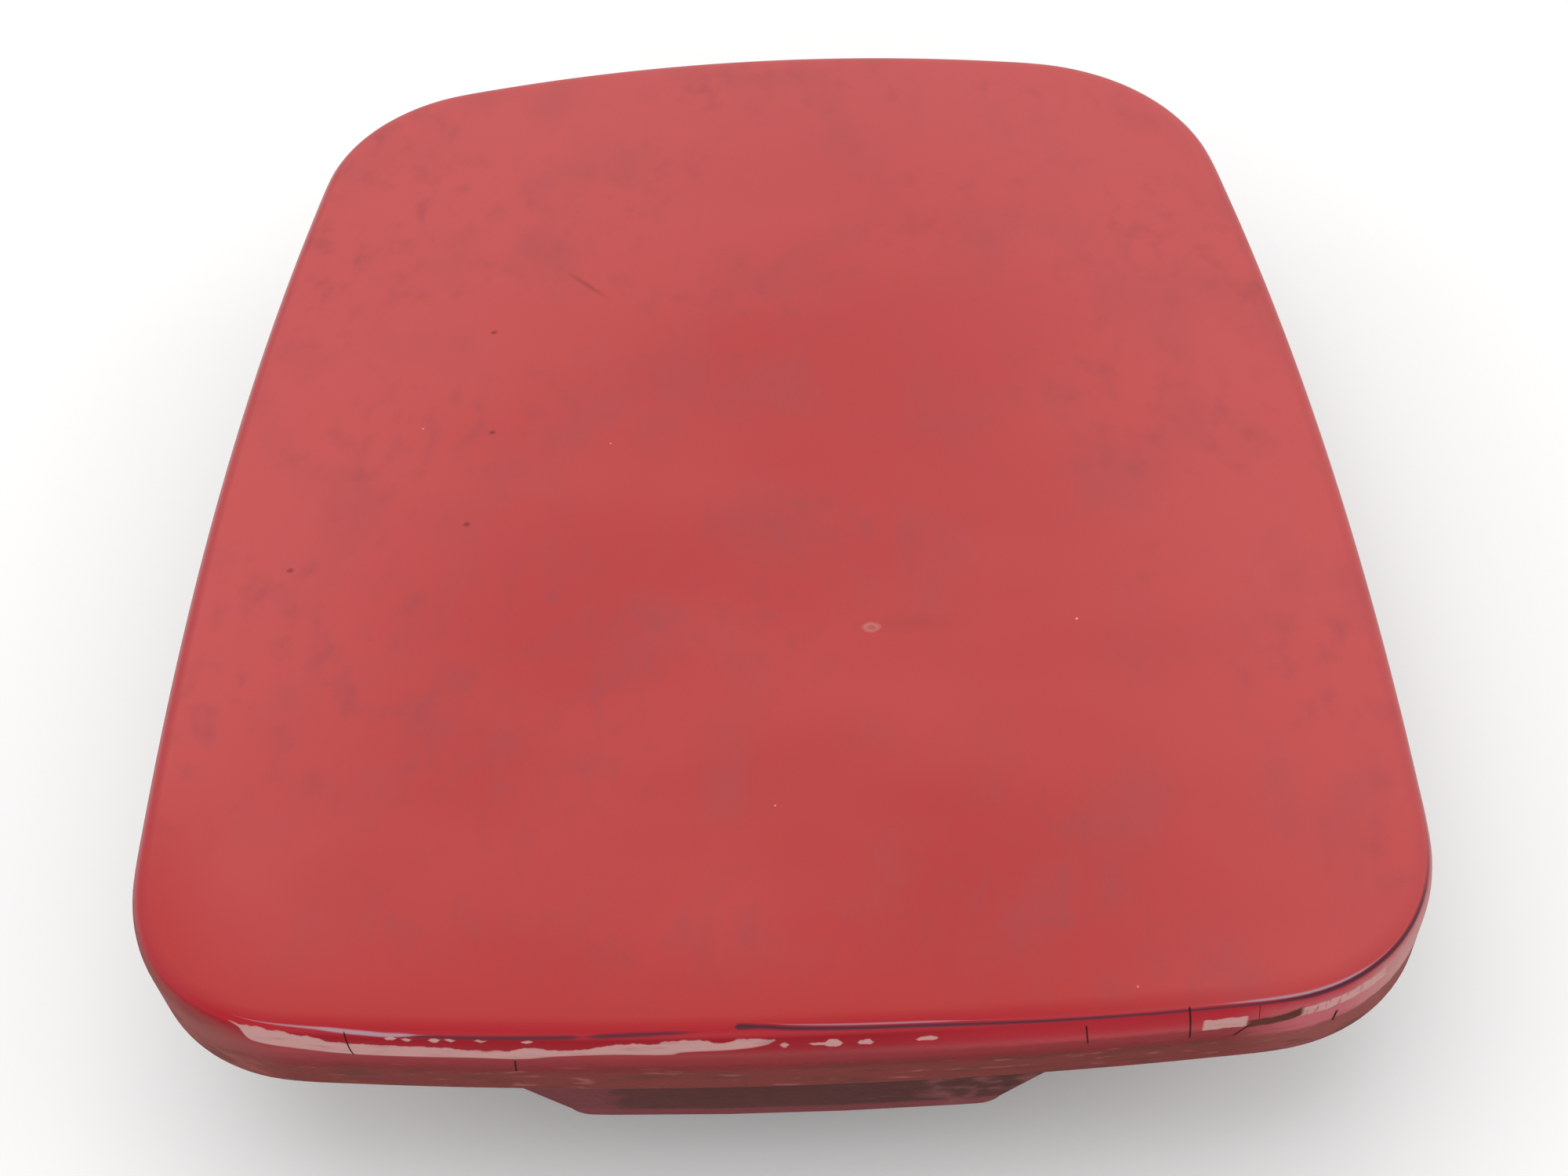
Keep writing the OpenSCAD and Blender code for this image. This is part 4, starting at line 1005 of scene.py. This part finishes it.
# %% Wire tree
def wire_tree():
    """Geometry Nodes that sweep a round wire along a path of edges."""
    tree, given = new_group("round_wire", (
        ("Path", "Geometry", None), ("Finish", "Material", None), ("Wire Radius", "Float", 0.0008),
        ("Ring Spacing", "Float", 0.0004), ("Sides", "Int", 16),
    ))
    curve = add(tree, "GeometryNodeMeshToCurve", [given["Path"]])
    curve = add(tree, "GeometryNodeCurveSplineType", [curve], spline_type="CATMULL_ROM")
    curve = add(tree, "GeometryNodeResampleCurve", {
        "Curve": curve, "Length": given["Ring Spacing"]}, mode="LENGTH")
    ring = add(tree, "GeometryNodeCurvePrimitiveCircle", {
        "Resolution": given["Sides"], "Radius": given["Wire Radius"]})
    shape = add(tree, "GeometryNodeCurveToMesh", {
        "Curve": curve, "Profile Curve": ring, "Fill Caps": True})
    return end_group(tree, add(tree, "GeometryNodeSetShadeSmooth", [shape]), given["Finish"])


# %% Spring
pin_z = frame["joints"][0]["pos_m"][2]
wire_radius = 0.8
coil_radius = 5.0
coil_pitch = 1.72
coil_turns = 5.5
coil_start = -21.9
coil_end = coil_start + coil_pitch * coil_turns
foot_z, arm_z, axis_z = 2.85, 11.35, pin_z / MM
path = [(coil_start, 10, foot_z), (coil_start, 7.6, foot_z), (coil_start, 6, foot_z + 0.5),
        (coil_start, 5.2, foot_z + 1.8), (coil_start, coil_radius, foot_z + 4)]
steps_per_turn = 20
for step in range(int(steps_per_turn * coil_turns) + 1):
    turn = math.tau * step / steps_per_turn
    path.append((coil_start + coil_pitch * step / steps_per_turn,
                 coil_radius * math.cos(turn), axis_z + coil_radius * math.sin(turn)))
path += [(coil_end, -5.1, arm_z + 1.8), (coil_end, -5.8, arm_z + 0.6), (coil_end, -7.2, arm_z),
         (coil_end, -12, arm_z), (coil_end, -21, arm_z)]
spring_path = mesh_object("spring_path", [Vector(p) * MM for p in path],
                          edges=[(i, i + 1) for i in range(len(path) - 1)])
spring = grown(
    "torsion_spring", spring_path, wire_tree(),
    Finish=spring_wire, Wire_Radius=wire_radius * MM, Sides=18,
)

# %% [markdown]
# ## Screws and buffers
#
# Screws and rubber buffers are turned shapes that repeat, so each is made once and Geometry Nodes
# put a copy at every place where the CAD model has one. A random turn about the axis, with a
# fixed seed, keeps the hexagon sockets from lining up, as they never do on a real object.


# %% Turned shapes
def turned(name, rings, sides=48):
    """A shape turned about Z from rings of (radius, height, share of hexagon), in mm."""
    points = []
    for radius, height, hexagon in rings:
        for side in range(sides):
            turn = math.tau * side / sides
            flat = math.cos(math.pi / 6) / math.cos(turn % (math.pi / 3) - math.pi / 6)
            reach = radius * (1 - hexagon + hexagon * flat) * MM
            points.append((reach * math.cos(turn), reach * math.sin(turn), height * MM))
    faces = [
        (start + i, start + (i + 1) % sides, start + sides + (i + 1) % sides, start + sides + i)
        for start in range(0, (len(rings) - 1) * sides, sides) for i in range(sides)
    ]
    made = mesh_object(name, points, faces=faces)
    with reshaped(made.data) as shape:
        bmesh.ops.remove_doubles(shape, verts=shape.verts, dist=0.001 * MM)
        bmesh.ops.recalc_face_normals(shape, faces=shape.faces)
    smooth_by_angle(made, 40)
    return made


def flanged_screw(name, size, shank):
    """A flanged hex-socket screw that points up, with its bearing face at zero."""
    foot = -1 - 0.65 * size
    socket = foot + 0.45 * size
    rings = [
        (0, socket + 0.3, 0), (0.3 * size, socket, 1), (0.42 * size, socket, 1),
        (0.42 * size, foot + 0.2, 1),
        (0.47 * size, foot, 0), (0.69 * size, foot, 0), (0.73 * size, foot + 0.12, 0),
        (0.75 * size, foot + 0.4, 0), (0.75 * size, -1.3, 0), (0.78 * size, -1.08, 0),
        (0.84 * size, -1, 0),
        (1.01 * size, -0.97, 0), (1.05 * size, -0.8, 0), (1.05 * size, -0.15, 0), (1.02 * size, 0, 0),
        (0.5 * size - 0.05, 0, 0),
    ]
    pitch, crest = 0.16 * size, 0.5 * size - 0.05
    height = 0.5 * pitch
    while height < shank - 1.5 * pitch:
        rings += [(crest - 0.5 * pitch, height, 0), (crest, height + 0.4 * pitch, 0)]
        rings += [(crest, height + 0.6 * pitch, 0)]
        height += pitch
    tip = [(crest - 0.6 * pitch, shank - 0.3 * pitch, 0), (crest - pitch, shank, 0), (0, shank, 0)]
    return turned(name, rings + tip)


# %% Scatter tree
def scatter_tree():
    """Geometry Nodes that put one shape at each of several points, each turned about Z."""
    tree, given = new_group("one_at_each_place", (
        ("Places", "Geometry", None), ("Shape", "Object", None), ("Finish", "Material", None),
        ("Largest Turn", "Float", math.tau), ("Seed", "Int", 4),
    ))
    shape = add(tree, "GeometryNodeObjectInfo", {"Object": given["Shape"]}, out="Geometry")
    turn = add(tree, "FunctionNodeRandomValue", {
        3: given["Largest Turn"], "Seed": given["Seed"]}, data_type="FLOAT")
    turn = add(tree, "ShaderNodeCombineXYZ", {"Z": turn})
    copies = add(tree, "GeometryNodeInstanceOnPoints", {
        "Points": given["Places"], "Instance": shape, "Rotation": turn})
    return end_group(tree, copies, given["Finish"])


scatter = scatter_tree()


def at_each(name, shape, places, finish, **inputs):
    """Copies of a shape at several places, as one plain mesh. The shape is removed."""
    source = mesh_object(name + "_places", places)
    made = grown(name, source, scatter, Shape=shape, Finish=finish, **inputs)
    bpy.data.objects.remove(shape)
    return made


# %% Screws
def screws(name, node, size, seed):
    """The screws of a CAD node, each rebuilt at its own place."""
    solids = islands(node)
    bearing = 1 + 0.65 * size
    low, high = solids[0]
    shape = flanged_screw(name + "_one", size, (high.z - low.z) / MM - bearing)
    places = [(*centre_of(low, high), low.z + bearing * MM) for low, high in solids]
    return at_each(name, shape, places, zinc, Seed=seed)


hinge_screws = screws("hinge_arm_screws", "arm_screws", 5, 3)
latch_screws = screws("latch_screws", "striker_screws", 4, 8)

# %% Buffers
buffer_nodes = ("buffer_near_left", "buffer_near_right", "buffer_far_left", "buffer_far_right")
buffer_rings = [
    (0, -6.2), (1.6, -6.2), (2.0, -6.6), (2.4, -6.95), (3.2, -7.0), (3.7, -6.95), (4.2, -6.7),
    (4.6, -6.2), (5.1, -4.2), (5.25, -3.9), (5.2, -3.6), (5.35, -3.3), (5.75, -1.4), (5.95, -0.6),
    (6.0, 0.0), (2.95, 0.0), (2.95, 0.8), (4.05, 0.85), (4.1, 1.05), (3.9, 1.4), (2.6, 3.7),
    (2.2, 4.0), (0, 4.0),
]
buffer_shape = turned("buffer_one", [(radius, height, 0) for radius, height in buffer_rings])
head_depth = 7 * MM
buffer_boxes = [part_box(node) for node in buffer_nodes]
buffer_places = [(*centre_of(low, high), low.z + head_depth) for low, high in buffer_boxes]
buffers = at_each("rubber_buffers", buffer_shape, buffer_places, pad_rubber)

# %% [markdown]
# ## Pressings and mouldings that keep the CAD shape
#
# The CAD model has these pieces right, but its edges are razor sharp. A copy is merged, its flat
# facets are joined, and a small bevel rounds every real edge, wider on mouldings than on sheet
# metal, because an edge shows a thin highlight in any light.


# %% Dressed copies
def dressed(node, name, width, finish):
    """A copy of a CAD node with its edges rounded by a width in mm."""
    mesh = frame["nodes"][node].data.copy()
    with reshaped(mesh) as shape:
        bmesh.ops.remove_doubles(shape, verts=shape.verts, dist=0.002 * MM)
        bmesh.ops.dissolve_limit(shape, angle_limit=math.radians(1), verts=shape.verts, edges=shape.edges)
    mesh.materials.clear()
    mesh.materials.append(finish)
    mesh.polygons.foreach_set("use_smooth", [True] * len(mesh.polygons))
    made = new_object(name, mesh)
    edges = made.modifiers.new("edges", "BEVEL")
    edges.width, edges.segments, edges.limit_method = width * MM, 3, "ANGLE"
    edges.angle_limit, edges.harden_normals = math.radians(32), True
    return finished(made, name)


# %% Pieces of the flap and of the hinge base
pieces = [
    (skin, "flap", "red_paint", ["outer_skin"]),
    (lining, "flap", "red_undercoat", ["inner_panel"]),
    (bead, "flap", "sealer", ["hem_sealer"]),
    (hinge_screws, "flap", "zinc_plate", ["arm_screws"]),
    (latch_screws, "flap", "zinc_plate", ["striker_screws"]),
    (buffers, "flap", "rubber", list(buffer_nodes)),
]
for node, name, width, finish, body, slot in (
    ("latch_plate", "latch_tab_plate", 0.25, scuffed_primer, "flap", "red_undercoat"),
    ("hinge_arm", "gooseneck_arm", 0.3, overspray, "flap", "red_undercoat"),
    ("latch_striker", "striker", 0.45, black_nylon, "flap", "black_plastic"),
    ("cap_holder", "filler_cap_hook", 0.5, black_nylon, "flap", "black_plastic"),
    ("holder_rivets", "push_rivets", 0.15, black_nylon, "flap", "black_plastic"),
    ("bush_left", "left_bush", 0.15, natural_nylon, "flap", "nylon"),
    ("bush_right", "right_bush", 0.15, natural_nylon, "flap", "nylon"),
    ("arm_weld_nuts", "arm_nuts", 0.2, zinc, "flap", "zinc_plate"),
    ("striker_weld_nuts", "striker_nuts", 0.2, zinc, "flap", "zinc_plate"),
    ("mastic_dabs", "drumming_dabs", 0.6, mastic, "flap", "sealer"),
    ("hinge_bracket", "lug_bracket", 0.3, zinc, "hinge_base", "zinc_plate"),
    ("hinge_pin", "headed_pin", 0.3, zinc, "hinge_base", "zinc_plate"),
    ("pin_clip", "groove_clip", 0.1, spring_wire, "hinge_base", "spring_steel"),
    ("stop_pad", "stop_rubber", 0.4, pad_rubber, "hinge_base", "rubber"),
):
    pieces.append((dressed(node, name, width, finish), body, slot, [node]))

# %% Ride with the bodies
for piece, body, slot, nodes in pieces:
    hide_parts(*nodes)
    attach(piece, body)
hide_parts("hinge_spring")
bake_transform(spring)
